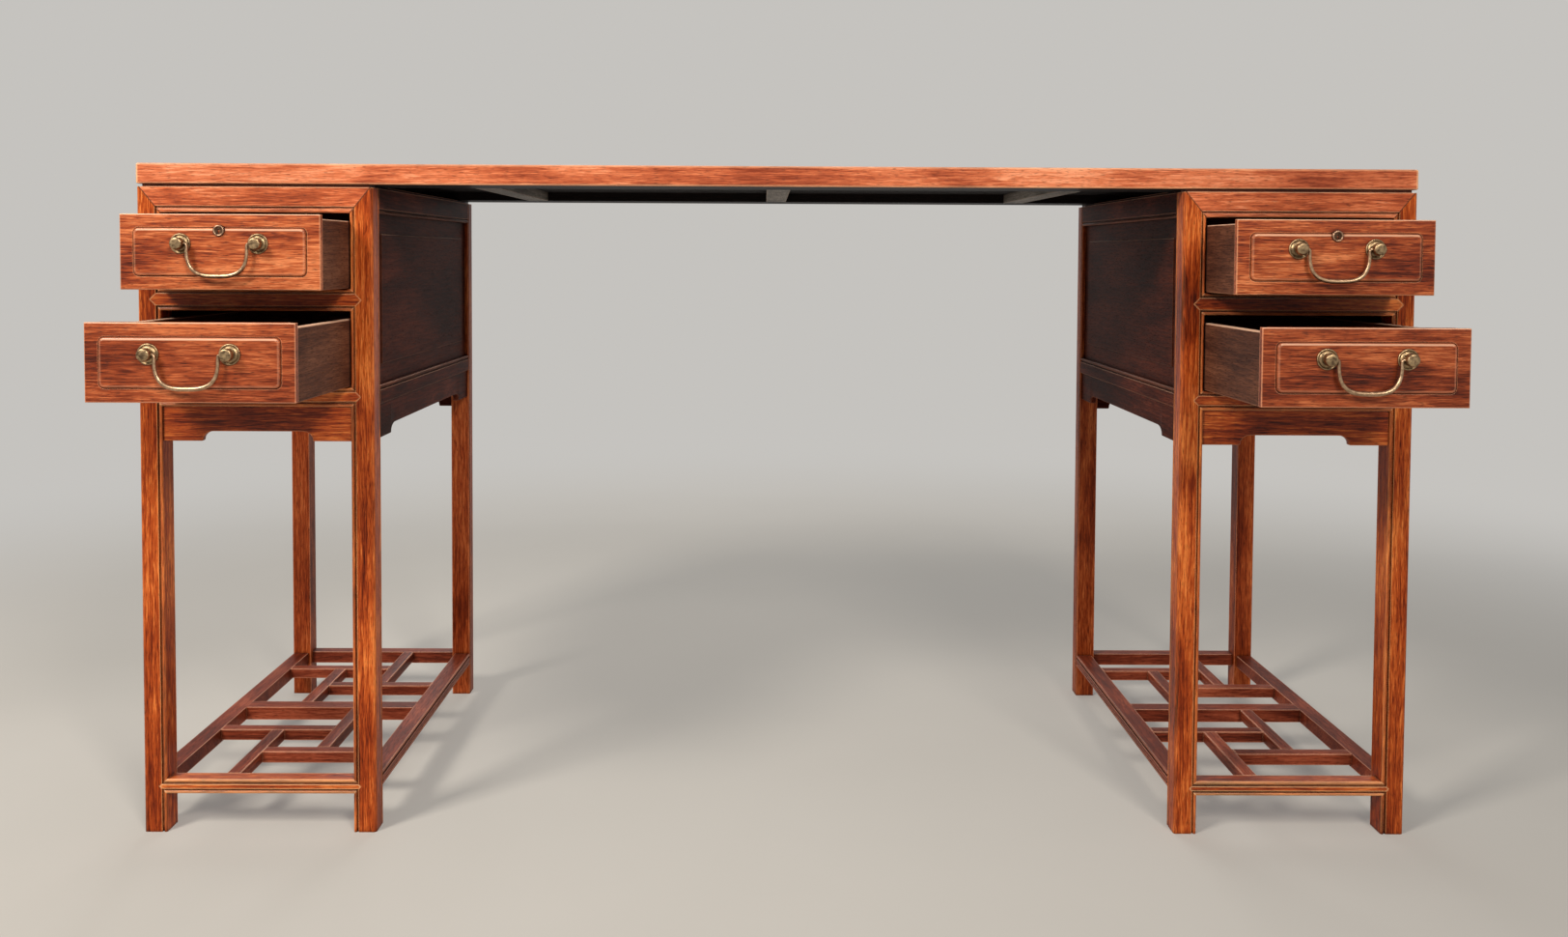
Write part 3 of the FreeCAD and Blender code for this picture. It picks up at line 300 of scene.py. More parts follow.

# Rails of the front
# The top rail is mitred to the posts; the middle and lower ones end in points let into them, as does the
# rail of the open shelf. All are beaded like the posts, and their beads are worn pale and brightened by painted
# highlights. The top rails are coloured lighter, as painted light.

rail_wood = hardwood("rail_wood", "x", frame_tones, wear=1.8)
shelf_rail_wood = hardwood("shelf_rail_wood", "x", frame_tones, wear=2.2, rub_reach=0.0024)
# lighter tones for the top rails: painted light, where the lamps fall strongest
top_rail_lit_tones = [tint(120, 49, 25), tint(175, 81, 44), tint(212, 113, 68), tint(245, 158, 113)]
top_rail_lit_wood = hardwood("top_rail_lit_wood", "x", top_rail_lit_tones, wear=1.4, mitres=front_mitres)
for side in ("left", "right"):
    dress(top_rail_lit_wood, f"{side}_top_rail")
    dress(rail_wood, f"{side}_mid_rail", f"{side}_lower_rail")
    dress(shelf_rail_wood, f"{side}_shelf_front_rail")

# Rails of the sides and back
# Planed like the front rails, with the same beads, but coloured darker as painted shade, and seldom handled.
# Their ends are tenoned into the posts.

# darker tones for the rails and aprons of the sides and back: painted shade
shaded_tones = [tint(38, 13, 8), tint(56, 21, 13), tint(74, 30, 19), tint(104, 48, 32)]
for way, rails in (("y", "side_rails"), ("x", "back_rails")):
    dress(hardwood(f"shaded_wood_{way}", way, shaded_tones, polish=0.0, shine=0.01, wear=1.5),
          f"left_{rails}", f"right_{rails}")

# Panels of the pedestals
# Thin boards of the same wood, dark partly in their own tone and partly as painted shade, let into grooves in
# the posts and rails and left free to move.
# The face of each is raised a little inside a flat border.

# dark panel tones: partly the wood's own dark colour, partly painted shade
panel_tones = [tint(38, 14, 9), tint(54, 21, 13), tint(70, 29, 18), tint(88, 39, 24)]
for part, way, panels in (("side", "y", "side_panels"), ("back", "x", "back_panel")):
    dress(hardwood(f"panel_wood_{part}", way, panel_tones, roughness=0.46, polish=0.0, shine=0.02, wear=0.6),
          f"left_{panels}", f"right_{panels}")

# Top
# A frame of two long and two end rails, mitred at the corners, round a floating panel of jointed boards.
# Three battens cross under the panel, grey as a painted reflection of the pale floor; the whole underside but
# the battens is lacquered black.

top_tones = [tint(132, 56, 32), tint(181, 89, 54), tint(212, 118, 76), tint(241, 157, 115)]
top_board_width = 0.1247
lacquer_margin = 0.0035
lacquer_below = 0.003


def board_by_board(tree, place, width):
    """Places on a panel glued up from boards of one width: each board's figure is moved by its number * step."""
    step_along, step_across = 3.7, 1.3
    split = shader_node(tree, "ShaderNodeSeparateXYZ", {"Vector": place}).outputs
    board = number(tree, "FLOOR", number(tree, "DIVIDE", split["Y"], width))
    return shader_node(tree, "ShaderNodeCombineXYZ", {
        "X": number(tree, "MULTIPLY_ADD", board, step_along, split["X"]), "Y": split["Y"],
        "Z": number(tree, "MULTIPLY_ADD", board, step_across, split["Z"])}).outputs["Vector"]


def lacquer_mask(tree, half_length, front_y, back_y, under):
    """1 where |x| < half_length, front_y < y < back_y and z < under, else 0."""
    place = shader_node(tree, "ShaderNodeTexCoord").outputs["Object"]
    at = shader_node(tree, "ShaderNodeSeparateXYZ", {"Vector": place}).outputs
    inside = number(tree, "LESS_THAN", number(tree, "ABSOLUTE", at["X"]), half_length)
    for test in (number(tree, "GREATER_THAN", at["Y"], front_y), number(tree, "LESS_THAN", at["Y"], back_y),
                 number(tree, "LESS_THAN", at["Z"], under)):
        inside = number(tree, "MULTIPLY", inside, test)
    return inside


top_low, top_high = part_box("top_long_rails")
lacquered = (top_high[0] - lacquer_margin, top_low[1] + lacquer_margin, top_high[1] - lacquer_margin,
             top_high[2] - lacquer_below)
for name, way, board_width, node in (
        ("top_wood_long", "x", 0.0, "top_long_rails"), ("top_wood_end", "y", 0.0, "top_end_rails"),
        ("top_wood_panel", "x", top_board_width, "top_panel")):
    dress(hardwood(name, way, top_tones, polish=0.08, shine=0.14, wear=1.5, rub_reach=0.0028,
                   lacquered_inside=lacquered, board_width=board_width), node)
# grey batten tones: painted reflection of the pale floor
batten_reflection_tones = [tint(76, 68, 60), tint(100, 92, 83), tint(124, 115, 105), tint(146, 137, 126)]
dress(hardwood("batten_wood", "y", batten_reflection_tones, roughness=0.6, polish=0.0), "top_battens")

# Aprons
# Boards tenoned under the lower rails, cut away between two ears with a small round step at each.
# They stand back a little from the faces of the posts and rails.

apron_arris = 0.0014
apron_ear_round = 0.002
side_apron_thickness = 0.009
aprons = {
    # ear length, length of the step, its rise, and the number of its first board
    "front_apron": (0.048, 0.013, 0.012, 11),
    "side_aprons": (0.056, 0.019, 0.012, 11),
    "back_apron": (0.024, 0.016, 0.016, 10),
}
right_apron_boards = 20


def corners(node):
    """The lowest and the highest corner of a construction piece's box."""
    return (np.array(corner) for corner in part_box(node))


def loft(loops):
    """Closed skin over a stack of closed loops: an array of stations, points of a loop, three coordinates."""
    stations, count = loops.shape[:2]
    index = np.arange(stations * count).reshape(stations, count)
    beside = np.roll(index, -1, axis=1)
    sides = np.stack([index[:-1], beside[:-1], beside[1:], index[1:]], axis=-1).reshape(-1, 4)
    return loops.reshape(-1, 3), sides.tolist() + [index[0, ::-1].tolist(), index[-1].tolist()]


def outward(vertices, faces):
    """The faces, all turned over if the skin's volume comes out negative (sum of corner triple products)."""
    volume = 0.0
    for count in {len(face) for face in faces}:
        same = vertices[np.array([face for face in faces if len(face) == count])]
        first, rest = same[:, :1], same[:, 1:]
        crossed = np.cross(rest[:, :-1], rest[:, 1:])
        volume += (crossed * first).sum()
    return faces if volume > 0 else [face[::-1] for face in faces]


def build_piece(name, skins, material, body, replaced=(), crease=35.0, wear_and_highlight=None):
    """One object from closed skins, each (vertices, faces, way of its fibres, board number).

    The grain attribute holds every point's place with the way of the fibres first, moved by a step of its
    own for each board number, which parts their figures. wear_and_highlight gives each point's share of wear and of
    painted highlight.
    """
    board_step = np.array([1.37, 0.61, 0.83])
    vertices, faces, grain, start = [], [], [], 0
    for points, skin_faces, way, board in skins:
        turn = {"x": [0, 1, 2], "y": [1, 2, 0], "z": [2, 0, 1]}[way]
        vertices.append(points)
        grain.append(points[:, turn] + board_step * (board + 1))
        faces += [[corner + start for corner in face] for face in outward(points, skin_faces)]
        start += len(points)
    mesh = bpy.data.meshes.new(name)
    mesh.from_pydata(np.concatenate(vertices).tolist(), [], faces)
    mesh.polygons.foreach_set("use_smooth", np.ones(len(faces), bool))
    mesh.set_sharp_from_angle(angle=np.radians(crease))
    mesh.attributes.new("grain", "FLOAT_VECTOR", "POINT").data.foreach_set("vector", np.concatenate(grain).ravel())
    if wear_and_highlight is not None:
        mesh.attributes.new("wear_and_highlight", "FLOAT", "POINT").data.foreach_set("value", wear_and_highlight)
    mesh.materials.append(material)
    mesh.update()
    piece = bpy.data.objects.new(name, mesh)
    bpy.context.scene.collection.objects.link(piece)
    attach(piece, body)
    if replaced:
        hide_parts(*replaced)
    return piece


def apron_skin(low, high, way, face_high, ear, step, rise):
    """An apron between two corners of its box, running along way, its face on the high side where face_high.

    Its lower edge is flat under each ear, turns up a small quarter round, then a quarter ellipse
    (length = step * (1 - cos), height = rise * sin), and runs level between. At each station of that edge the
    section is a closed loop: rounded arris, under edge, rounded arris, back, top, front.
    """
    along = "xyz".index(way)
    inward = 1 - along
    run, thick, tall = high[along] - low[along], high[inward] - low[inward], high[2] - low[2]
    turn = np.linspace(0, np.pi / 2, 9)
    small = apron_ear_round
    corner = np.stack([ear - small + small * np.sin(turn), small * (1 - np.cos(turn))], axis=1)
    curve = np.stack([ear + step * (1 - np.cos(turn)), small + (rise - small) * np.sin(turn)], axis=1)
    half = np.concatenate([[[0.0, 0.0]], corner, curve[1:], [[run / 2, rise]]])
    edge = np.concatenate([half, np.stack([run - half[-2::-1, 0], half[-2::-1, 1]], axis=1)])
    slope = np.gradient(edge, axis=0)
    normal = np.stack([-slope[:, 1], slope[:, 0]], axis=1)
    normal /= np.linalg.norm(normal, axis=1, keepdims=True)
    bend = np.linspace(0, np.pi / 2, 4)
    depth = np.concatenate([
        apron_arris * (1 - np.cos(bend)), thick - apron_arris * (1 - np.cos(bend[::-1])), [thick, 0]])
    lift = np.concatenate([apron_arris * (1 - np.sin(bend)), apron_arris * (1 - np.sin(bend[::-1]))])
    lower = edge[:, None, :] + lift[None, :, None] * normal[:, None, :]
    upper = np.broadcast_to(np.stack([edge[:, 0], np.full(len(edge), tall)], axis=1)[:, None, :], (len(edge), 2, 2))
    flat = np.concatenate([lower, upper], axis=1)
    loops = np.empty((*flat.shape[:2], 3))
    loops[..., along] = low[along] + flat[..., 0]
    loops[..., inward] = high[inward] - depth if face_high else low[inward] + depth
    loops[..., 2] = low[2] + flat[..., 1]
    return loft(loops)


# the side and back aprons take the darker tones of painted shade
apron_wood = {
    "front_apron": hardwood("front_apron_wood", "piece", frame_tones),
    "side_aprons": hardwood("side_apron_wood", "piece", shaded_tones, polish=0.0, shine=0.01, wear=1.2),
    "back_apron": hardwood("back_apron_wood", "piece", shaded_tones, polish=0.0, shine=0.01, wear=1.2),
}
for side in ("left", "right"):
    for group, (ear, step, rise, first_board) in aprons.items():
        low, high = corners(f"{side}_{group}")
        if group == "side_aprons":
            spans = [(low, np.array([low[0] + side_apron_thickness, *high[1:]]), "y", False),
                     (np.array([high[0] - side_apron_thickness, *low[1:]]), high, "y", True)]
        else:
            spans = [(low, high, "x", group == "back_apron")]
        if side == "right":
            first_board += right_apron_boards
        skins = [
            (*apron_skin(*span, ear, step, rise), span[2], board)
            for board, span in enumerate(spans, start=first_board)
        ]
        build_piece(f"{side}_{group}_cut", skins, apron_wood[group], "desk", [f"{side}_{group}"])

# Open shelves
# Each shelf is a frame between the posts with a middle bar; short flat bars half fill it in a pinwheel.
# Bars and frame lie level on top, their edges softened with a scraper.

lattice_width = 0.017
lattice_height = 0.015
lattice_offset = 0.041
lattice_arris = 0.0012
lattice_boards = {"left": 40, "right": 60}
shelf_side_width = 0.024
shelf_end_depth = 0.020
shelf_middle_width = 0.024
# from the desk's middle to a shelf's, and from there to the side rails, past which the fibres run front to back
shelf_centre = 0.637
shelf_half_opening = 0.119


def bar_skin(low, high, way, arris):
    """A bar with its four long edges rounded: the section is a rectangle whose corners are quarter circles."""
    along = "xyz".index(way)
    first, second = [axis for axis in range(3) if axis != along]
    turn = np.linspace(0, np.pi / 2, 4)
    loop = []
    for quarter, (sign_first, sign_second) in enumerate(((1, 1), (-1, 1), (-1, -1), (1, -1))):
        angle = turn + quarter * np.pi / 2
        centre = [
            (high if sign > 0 else low)[axis] - sign * arris
            for axis, sign in ((first, sign_first), (second, sign_second))
        ]
        loop.append(np.stack([centre[0] + arris * np.cos(angle), centre[1] + arris * np.sin(angle)], axis=1))
    loop = np.concatenate(loop)
    loops = np.empty((2, len(loop), 3))
    loops[..., first] = loop[:, 0]
    loops[..., second] = loop[:, 1]
    loops[..., along] = np.array([low[along], high[along]])[:, None]
    return loft(loops)


# darker tones for the shelf frame and bars: painted shade
shelf_shade_tones = [tint(72, 26, 15), tint(104, 42, 25), tint(132, 58, 36), tint(164, 84, 56)]
lattice_wood = hardwood("lattice_wood", "piece", shelf_shade_tones, roughness=0.42, polish=0.0, shine=0.1, wear=1.8,
                        rub_reach=0.0024)
shelf_wood = hardwood("shelf_wood", "x", shelf_shade_tones, roughness=0.42, polish=0.0, shine=0.1, wear=1.8,
                      turned_past=(shelf_centre, shelf_half_opening))
for side in ("left", "right"):
    dress(shelf_wood, f"{side}_shelf_frame")
    low, high = corners(f"{side}_shelf_frame")
    left_edge, right_edge = low[0] + shelf_side_width, high[0] - shelf_side_width
    front_end, back_end = low[1] - post_size + shelf_end_depth, high[1] - shelf_end_depth
    middle_front = (front_end + back_end) / 2 - shelf_middle_width / 2
    middle_back = (front_end + back_end) / 2 + shelf_middle_width / 2
    left_bar = (low[0] + high[0]) / 2 - lattice_offset - lattice_width / 2
    right_bar = left_bar + 2 * lattice_offset
    spans = []
    for start, finish in ((front_end, middle_front), (middle_back, back_end)):
        near = start + (finish - start) / 3 - lattice_width / 2
        far = start + 2 * (finish - start) / 3 - lattice_width / 2
        spans += [
            ((left_bar, start), (left_bar + lattice_width, far), "y"),
            ((left_bar + lattice_width, near), (right_edge, near + lattice_width), "x"),
            ((right_bar, near + lattice_width), (right_bar + lattice_width, finish), "y"),
            ((left_edge, far), (right_bar, far + lattice_width), "x"),
        ]
    skins = [
        (*bar_skin((*near_corner, high[2] - lattice_height), (*far_corner, high[2]), way, lattice_arris), way, board)
        for board, (near_corner, far_corner, way) in enumerate(spans, start=lattice_boards[side])
    ]
    build_piece(f"{side}_lattice_bars", skins, lattice_wood, "desk", [f"{side}_shelf_lattice"])

# Drawer runners
# Unpolished strips inside the pedestals, one under each side of a drawer and one beside it as a guide.
# They are seen only past an open drawer.

runner_tones = [tint(40, 24, 16), tint(56, 34, 22), tint(70, 44, 29), tint(86, 56, 38)]
dress(hardwood("runner_wood", "y", runner_tones, roughness=0.7, polish=0.0),
      "left_drawer_runners", "right_drawer_runners")

# Drawer fronts
# Thick boards with soft outer edges; a raised field with round corners is worked in the solid.
# A narrow sunk line and a quarter-round edge set the field off from the flat margin.

front_arris = 0.0012
front_corner = 0.0006
rebate_corner = 0.0004
field_margin = 0.016
field_raise = 0.0025
field_corner = 0.006
field_corner_loss = 0.8
# distance outside the field's edge, and depth, in three steps from the margin to the field
sunk_line = ((0.0009, 0.0), (0.0006, 0.0006), (0.0001, 0.0006))
corner_points = 7
drawer_lap = 0.009
box_side_thickness = 0.011


def round_rectangle(width, height, inset, radius, narrower=0.0):
    """Loop of a rectangle set in by inset all round, and by narrower at its two ends as well.

    Each corner is a quarter circle: corner centre + radius * (cos, sin).
    """
    turn = np.linspace(0, np.pi / 2, corner_points)
    right, top = width / 2 - inset - narrower - radius, height / 2 - inset - radius
    return np.concatenate([
        np.stack([sign_x * right + radius * np.cos(turn + start), sign_z * top + radius * np.sin(turn + start)], axis=1)
        for sign_x, sign_z, start in ((1, 1, 0), (-1, 1, np.pi / 2), (-1, -1, np.pi), (1, -1, 1.5 * np.pi))
    ])


def drawer_front_skin(low, high):
    """A front board as nested round rectangles: inset, corner radius, distance forward, and how much narrower.

    From the back: the part between the drawer's sides, the rebates that take their ends, the board's edge,
    its arris, the flat margin, a sunk line, the quarter-round edge of the field, and the flat field. On both
    rounds inset = r * (1 - cos) and forward = r * sin. The skin comes back with each point's share of wear and
    of painted highlight, which is most on the upper edges of the arris and the field.
    """
    width, height = high[0] - low[0], high[2] - low[2]
    board_face = low[1] + field_raise
    lapped = high[1] - drawer_lap
    swing = 1 - np.cos(np.linspace(0, np.pi / 2, 5))
    rings = [(0.0, rebate_corner, high[1], box_side_thickness), (0.0, rebate_corner, lapped, box_side_thickness),
             (0.0, rebate_corner, lapped, 0.0)]
    rings += [
        (front_arris * inward, front_corner + front_arris * inward, board_face + front_arris * behind, 0.0)
        for inward, behind in zip(swing, swing[::-1])
    ]
    rings += [
        (field_margin - outside, field_corner + outside, board_face + depth, 0.0) for outside, depth in sunk_line
    ]
    rings += [
        (field_margin + field_raise * inward, field_corner - field_corner_loss * field_raise * inward,
         low[1] + field_raise * behind, 0.0)
        for inward, behind in zip(swing, swing[::-1])
    ]
    flat_start, flat_corner = field_margin + field_raise, field_corner - field_corner_loss * field_raise
    rings += [(flat_start + more, flat_corner - more, low[1], 0.0) for more in (0.0003, 0.001, 0.003)]
    arris_rings, field_rings, upper_points = slice(4, 7), slice(-5, -2), slice(4, 10)
    # wear and painted highlight on the arris and the field's edge, more on the upper points where light falls from
    # above
    wear_and_highlight_share = np.zeros((len(rings), 4 * corner_points))
    wear_and_highlight_share[arris_rings], wear_and_highlight_share[arris_rings, upper_points] = 0.2, 0.65
    wear_and_highlight_share[field_rings], wear_and_highlight_share[field_rings, upper_points] = 0.1, 0.62
    middle = (low + high) / 2
    loops = np.empty((len(rings), 4 * corner_points, 3))
    for station, (inset, radius, depth, narrower) in enumerate(rings):
        loop = round_rectangle(width, height, inset, radius, narrower)
        loops[station, :, 0] = middle[0] + loop[:, 0]
        loops[station, :, 1] = depth
        loops[station, :, 2] = middle[2] + loop[:, 1]
    return *loft(loops), wear_and_highlight_share.ravel()


front_tones = [tint(66, 21, 9), tint(132, 53, 25), tint(178, 88, 46), tint(222, 134, 84)]
# darker tones for the lower drawer fronts: painted shade
lower_front_shade_tones = [tint(54, 17, 7), tint(113, 44, 19), tint(154, 71, 36), tint(198, 111, 66)]
front_woods = {
    "upper": hardwood("upper_drawer_front_wood", "piece", front_tones, wear=1.3),
    "lower": hardwood("lower_drawer_front_wood", "piece", lower_front_shade_tones, wear=1.5),
}
drawers = [f"{level}_{side}_drawer" for level in ("upper", "lower") for side in ("left", "right")]
first_front_board = 80
for board, drawer in enumerate(drawers, start=first_front_board):
    points, faces, wear_and_highlight_share = drawer_front_skin(*corners(f"{drawer}_front"))
    build_piece(f"{drawer}_front_board", [(points, faces, "x", board)], front_woods[drawer.partition("_")[0]],
                drawer, [f"{drawer}_front"], wear_and_highlight=wear_and_highlight_share)

# Drawer boxes
# Two sides lapped into the front, and a back between them, of plain brown wood left dull inside and out.
# The bottom board slides in a groove in the sides, under the back.

box_back_thickness = 0.010
box_arris = 0.0012
box_back_low = 0.011
first_box_board = 90
# painted highlight, with wear, on the top edges of the drawer sides, where light falls from above
top_edge_wear_and_highlight = np.zeros((2, 16))
top_edge_wear_and_highlight[:, 1:7] = 1.1  # of the 16 points at each end of a board, those on its top and its two upper rounds
lining_tones = [tint(58, 31, 21), tint(85, 49, 34), tint(108, 65, 45), tint(134, 86, 62)]
lining_wood = hardwood("drawer_lining_wood", "piece", lining_tones, roughness=0.62, polish=0.0, wear=1.6)
bottom_wood = hardwood("drawer_bottom_wood", "y", lining_tones, roughness=0.68, polish=0.0)
for board, drawer in enumerate(drawers, start=first_box_board):
    low, high = corners(f"{drawer}_box")
    left_inside, right_inside = low[0] + box_side_thickness, high[0] - box_side_thickness
    boards = [
        (low, (left_inside, high[1], high[2]), "y"),
        ((right_inside, low[1], low[2]), high, "y"),
        ((left_inside, high[1] - box_back_thickness, low[2] + box_back_low), (right_inside, high[1], high[2]), "x"),
    ]
    skins = [
        (*bar_skin(near_corner, far_corner, way, box_arris), way, board + 10 * place)
        for place, (near_corner, far_corner, way) in enumerate(boards)
    ]
    build_piece(f"{drawer}_box_boards", skins, lining_wood, drawer, [f"{drawer}_box"],
                wear_and_highlight=np.tile(top_edge_wear_and_highlight.ravel(), len(skins)))
    dress(bottom_wood, f"{drawer}_bottom")

# Pulls
# Each drawer has a swinging bail between two cast and turned brass posts, which pass through the front
# and are held inside by round nuts. The brass has aged to a yellow brown, brighter where hands rub it.

post_profile = np.array([
    # radius and distance forward of the field's face, in millimetres
    (2.4, -8.0), (11.5, -0.05), (11.7, 0.5), (11.5, 1.2), (10.9, 1.6), (10.2, 1.5), (9.7, 0.9), (9.2, 0.8),
    (8.7, 1.2), (8.1, 1.9), (6.9, 2.3), (5.4, 2.5), (4.6, 2.8), (4.3, 3.4), (4.6, 4.0), (5.8, 4.4), (6.8, 4.9),
    (7.15, 5.7), (7.25, 7.5), (7.25, 9.8), (7.15, 11.4), (6.9, 12.4), (6.4, 13.1), (5.6, 13.5), (4.2, 13.68),
    (2.0, 13.76), (0.3, 13.78),
]) / 1000
nut_profile = np.array([(0.3, 3.0), (2.3, 2.95), (2.4, 2.4), (4.2, 2.4), (4.8, 1.9), (5.0, 1.2), (5.0, 0.05)]) / 1000
post_spacing = 0.088
post_rise = 0.0095
bail_forward = 0.0068
bail_half_width = 0.0342
bail_drop = 0.037
bail_roundness = 3.0
bail_elbow = 0.0028
bail_thin = 0.0018
bail_thick = 0.0026


def turned_skin(profile, x, y, z, steps=40):
    """A turned piece on an axis along y: each profile point (r, d) sweeps the circle (r cos, -d, r sin)."""
    angle = np.linspace(0, 2 * np.pi, steps, endpoint=False)
    radius, forward = profile[:, :1], profile[:, 1:]
    loops = np.stack([
        x + radius * np.cos(angle), np.broadcast_to(y - forward, (len(profile), steps)), z + radius * np.sin(angle)],
        axis=-1)
    return loft(loops)


def bail_skin(x, y, z, steps=14):
    """A bent wire. Its legs and bottom are half a squared-off ellipse, |x/a|^n + |z/b|^n = 1, its ends turn
    outwards on a quarter circle and run level into the posts; it swells towards the middle of the bottom."""
    angle = np.linspace(np.pi, 0, 61)
    cosine, sine = np.cos(angle), np.sin(angle)
    arch = np.stack([
        bail_half_width * np.sign(cosine) * np.abs(cosine) ** (2 / bail_roundness),
        -bail_elbow - (bail_drop - bail_elbow) * np.abs(sine) ** (2 / bail_roundness)], axis=1)
    turn = np.linspace(0, np.pi / 2, 7)[:-1]
    elbow = np.stack([
        -bail_half_width - bail_elbow + bail_elbow * np.sin(turn), -bail_elbow + bail_elbow * np.cos(turn)], axis=1)
    start = np.concatenate([[[-post_spacing / 2, 0.0]], elbow])
    line = np.concatenate([start, arch, start[::-1] * [-1, 1]])
    along = np.gradient(line, axis=0)
    along /= np.linalg.norm(along, axis=1, keepdims=True)
    sideways = np.stack([-along[:, 1], along[:, 0]], axis=1)
    swell = np.clip(-line[:, 1] / bail_drop, 0, 1) ** 2
    radius = (bail_thin + (bail_thick - bail_thin) * swell)[:, None]
    around = np.linspace(0, 2 * np.pi, steps, endpoint=False)
    loops = np.stack([
        x + line[:, :1] + radius * np.cos(around) * sideways[:, :1],
        y + radius * np.sin(around) * np.ones((len(line), 1)),
        z + line[:, 1:] + radius * np.cos(around) * sideways[:, 1:]], axis=-1)
    return loft(loops)


def aged_brass(name, bright, dull, roughness):
    """Cast brass gone yellow brown: cloudy patina, dark in its hollows, rubbed bright on its edges."""
    patina_gloss, most_rubbed = 0.3, 0.8
    material, tree = bare_material(name)
    place = shader_node(tree, "ShaderNodeTexCoord").outputs["Object"]
    clouds = shader_node(tree, "ShaderNodeTexNoise", {
        "Vector": place, "Scale": 240.0, "Detail": 5.0, "Distortion": 0.6}).outputs["Fac"]
    grains = shader_node(tree, "ShaderNodeTexNoise", {"Vector": place, "Scale": 1900.0, "Detail": 2.0}).outputs["Fac"]
    edge, _ = edge_strength(tree, reach=0.0012, gain=5.0)
    polished = (*(min(1.0, 1.5 * channel) for channel in bright[:3]), 1.0)
    colour = ramp(tree, clouds, [(0.32, dull), (0.66, bright)])
    colour = lay_over(tree, colour, polished, number(tree, "MINIMUM", edge, most_rubbed))
    hollow = shader_node(tree, "ShaderNodeAmbientOcclusion", {"Distance": 0.004}, samples=5).outputs["AO"]
    colour = lay_over(tree, colour, tint(48, 32, 20), ramp(tree, hollow, [(0.2, grey(0.85)), (0.85, grey(0.0))]))
    bump = shader_node(tree, "ShaderNodeBump", {"Strength": 0.25, "Distance": 0.0003, "Height": number(
        tree, "ADD", grains, number(tree, "MULTIPLY", clouds, 1.5))})
    shader = shader_node(tree, "ShaderNodeBsdfPrincipled", {
        "Base Color": colour, "Metallic": 1.0, "Normal": bump.outputs["Normal"],
        "Roughness": number(tree, "MULTIPLY_ADD", clouds, patina_gloss, roughness - patina_gloss / 2)})
    shader_node(tree, "ShaderNodeOutputMaterial", {"Surface": shader.outputs["BSDF"]})
    return material


post_brass = aged_brass("post_brass", tint(186, 157, 118), tint(102, 82, 62), 0.38)
bail_brass = aged_brass("bail_brass", tint(200, 168, 134), tint(146, 116, 90), 0.34)
for drawer in drawers:
    low, high = corners(f"{drawer}_front")
    centre_x = (low[0] + high[0]) / 2
    post_z = (low[2] + high[2]) / 2 + post_rise
    skins = []
    for across in (-post_spacing / 2, post_spacing / 2):
        skins.append((*turned_skin(post_profile, centre_x + across, low[1], post_z), "x", 0))
        skins.append((*turned_skin(nut_profile * [1, -1], centre_x + across, high[1], post_z, steps=24), "x", 0))
    build_piece(f"{drawer}_turned_posts", skins, post_brass, drawer, [f"{drawer}_pull_posts"], crease=50)
    build_piece(f"{drawer}_bent_bail", [(*bail_skin(centre_x, low[1] - bail_forward, post_z), "x", 0)], bail_brass,
                f"{drawer}_bail", [f"{drawer}_bail"], crease=60)

# Locks of the upper drawers
# A brass case let into the back of the front board, with a bolt that rises into the rail above.
# In the field's face only its round key plate shows, with a raised rim round the keyhole.

rim_profile = np.array([
    # radius and distance forward of the key plate's face, in millimetres
    (4.2, -0.3), (4.35, 0.35), (4.7, 0.8), (5.3, 1.0), (5.9, 0.85), (6.3, 0.4), (6.45, -0.4),
]) / 1000
key_plate_drop = 0.003


def rim_skin(x, y, z, steps=40):
    """A closed turned ring: each profile point (r, d) sweeps the circle (r cos, -d, r sin), and the last
    circle joins the first."""
    angle = np.linspace(0, 2 * np.pi, steps, endpoint=False)[:, None]
    radius, forward = rim_profile[:, 0], rim_profile[:, 1]
    points = np.stack([
        x + radius * np.cos(angle), np.broadcast_to(y - forward, (steps, len(radius))), z + radius * np.sin(angle)],
        axis=-1)
    count = len(radius)
    index = np.arange(steps * count).reshape(steps, count)
    around, across = np.roll(index, -1, axis=0), np.roll(index, -1, axis=1)
    faces = np.stack([index, around, np.roll(around, -1, axis=1), across], axis=-1).reshape(-1, 4)
    return points.reshape(-1, 3), faces.tolist()


lock_brass = aged_brass("lock_brass", tint(106, 79, 61), tint(54, 36, 28), 0.42)
rim_brass = aged_brass("rim_brass", tint(186, 150, 122), tint(112, 82, 66), 0.36)
for side in ("left", "right"):
    drawer = f"upper_{side}_drawer"
    dress(lock_brass, f"{drawer}_lock", f"{drawer}_lock_bolt")
    low, high = corners(f"{drawer}_front")
    plate_low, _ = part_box(f"{drawer}_lock")
    build_piece(
        f"{drawer}_key_rim",
        [(*rim_skin((low[0] + high[0]) / 2, plate_low[1], high[2] - field_margin - key_plate_drop), "x", 0)],
        rim_brass, drawer, crease=50)

# Studio
# A pale floor that fades into a pale surround, two soft lamps high in front, the left one the stronger,
# a broad one behind, and the camera where the photograph was taken.

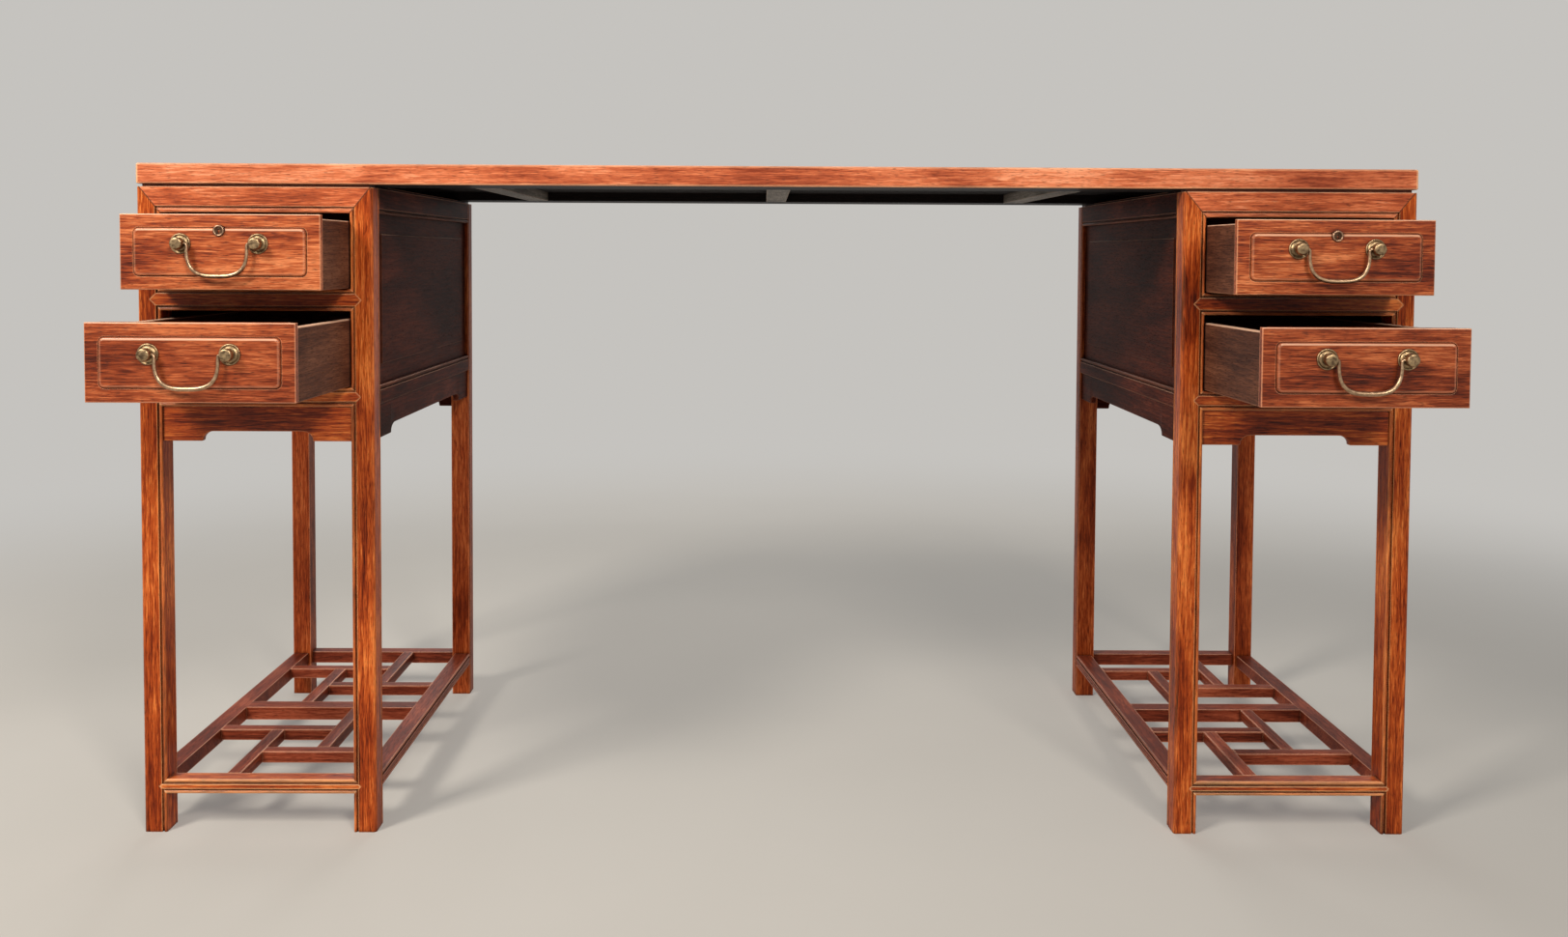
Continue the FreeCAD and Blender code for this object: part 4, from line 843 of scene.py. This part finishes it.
floor_reach = 40.0
floor_sides = 96
surround = (0.56, 0.545, 0.52, 1.0)
around = np.linspace(0, 2 * np.pi, floor_sides, endpoint=False)
floor_rim = floor_reach * np.stack([np.cos(around), np.sin(around), np.zeros(floor_sides)], axis=1)
floor_mesh = bpy.data.meshes.new("studio_floor")
floor_mesh.from_pydata(floor_rim.tolist(), [], [list(range(floor_sides))])
studio_floor = bpy.data.objects.new("studio_floor", floor_mesh)
bpy.context.scene.collection.objects.link(studio_floor)
studio_floor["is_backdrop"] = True
floor_paint, tree = bare_material("floor_paint")
place = shader_node(tree, "ShaderNodeTexCoord").outputs["Object"]
distance = shader_node(tree, "ShaderNodeVectorMath", {0: place}, operation="LENGTH").outputs["Value"]
fade = shader_node(tree, "ShaderNodeMapRange", {
    "Value": distance, "From Min": 1.1, "From Max": 3.2, "To Min": 0.3}, interpolation_type="SMOOTHERSTEP")
mottle = shader_node(tree, "ShaderNodeTexNoise", {"Vector": place, "Scale": 2.2, "Detail": 6.0}).outputs["Fac"]
matt = shader_node(tree, "ShaderNodeBsdfPrincipled", {
    "Base Color": ramp(tree, mottle, [(0.3, (0.57, 0.535, 0.48, 1)), (0.7, (0.6, 0.565, 0.51, 1))]),
    "Roughness": 0.85, "Specular IOR Level": 0.2})
glow = shader_node(tree, "ShaderNodeEmission", {"Color": surround, "Strength": 1.0})
blend = shader_node(tree, "ShaderNodeMixShader", {0: fade.outputs["Result"]})
tree.links.new(matt.outputs["BSDF"], blend.inputs[1])
tree.links.new(glow.outputs["Emission"], blend.inputs[2])
shader_node(tree, "ShaderNodeOutputMaterial", {"Surface": blend.outputs["Shader"]})
floor_mesh.materials.append(floor_paint)

world = bpy.data.worlds.new("studio_surround")
bpy.context.scene.world = world
world.use_nodes = True
tree = world.node_tree
tree.nodes.clear()
rays = shader_node(tree, "ShaderNodeLightPath").outputs
seen = number(tree, "MAXIMUM", rays["Is Camera Ray"], number(
    tree, "MAXIMUM", rays["Is Glossy Ray"], rays["Is Transmission Ray"]))
fill_level = 0.27
level = number(tree, "MULTIPLY_ADD", seen, 1.0 - fill_level, fill_level)
backdrop = shader_node(tree, "ShaderNodeBackground", {"Color": surround, "Strength": level})
shader_node(tree, "ShaderNodeOutputWorld", {"Surface": backdrop.outputs["Background"]})


def lamp(name, place, target, size, power, colour=(1.0, 1.0, 1.0), spread=180.0):
    """A square soft lamp that faces a point, its size in metres, its power in watts, its spread in degrees."""
    data = bpy.data.lights.new(name, "AREA")
    data.size = size
    data.spread = np.radians(spread)
    data.energy = power
    data.color = colour
    made = bpy.data.objects.new(name, data)
    place, target = np.array(place), np.array(target)
    back = (place - target) / np.linalg.norm(place - target)
    right = np.cross([0, 0, 1], back)
    right /= np.linalg.norm(right)
    turn = np.stack([right, np.cross(back, right), back], axis=1)
    made.matrix_world = Matrix.Translation(place) @ Matrix(turn.tolist()).to_4x4()
    bpy.context.scene.collection.objects.link(made)


warm = (1.0, 0.95, 0.88)
lamp("left_lamp", (-2.17, -2.06, 2.6), (-0.3, -0.2, 0.5), size=0.8, power=96, colour=warm)
lamp("right_lamp", (1.15, -3.05, 2.6), (-0.75, -0.2, 0.55), size=0.8, power=20, colour=warm, spread=87.0)
lamp("back_lamp", (-0.4, 3.4, 2.6), (0, 0, 0.5), size=2.2, power=52)

camera_place = (-0.01618, -1.73331, 0.71615)
turn_left, look_down, tip = -0.0063, -0.0372, -0.0049
camera_data = bpy.data.cameras.new("camera")
camera_data.sensor_width = 36.0
camera_data.lens = 29.48
camera_data.shift_x = 0.00682
camera_data.shift_y = -0.10571
camera_data.clip_end = 200.0
camera = bpy.data.objects.new("camera", camera_data)
facing_forward = Matrix(((1, 0, 0), (0, 0, -1), (0, 1, 0)))
camera_turn = (
    Matrix.Rotation(turn_left, 3, "Z") @ Matrix.Rotation(look_down, 3, "X") @ Matrix.Rotation(tip, 3, "Y")
    @ facing_forward)
camera.matrix_world = Matrix.Translation(camera_place) @ camera_turn.to_4x4()
bpy.context.scene.collection.objects.link(camera)
bpy.context.scene.camera = camera
bpy.context.scene.view_settings.view_transform = "Standard"

low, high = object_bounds()
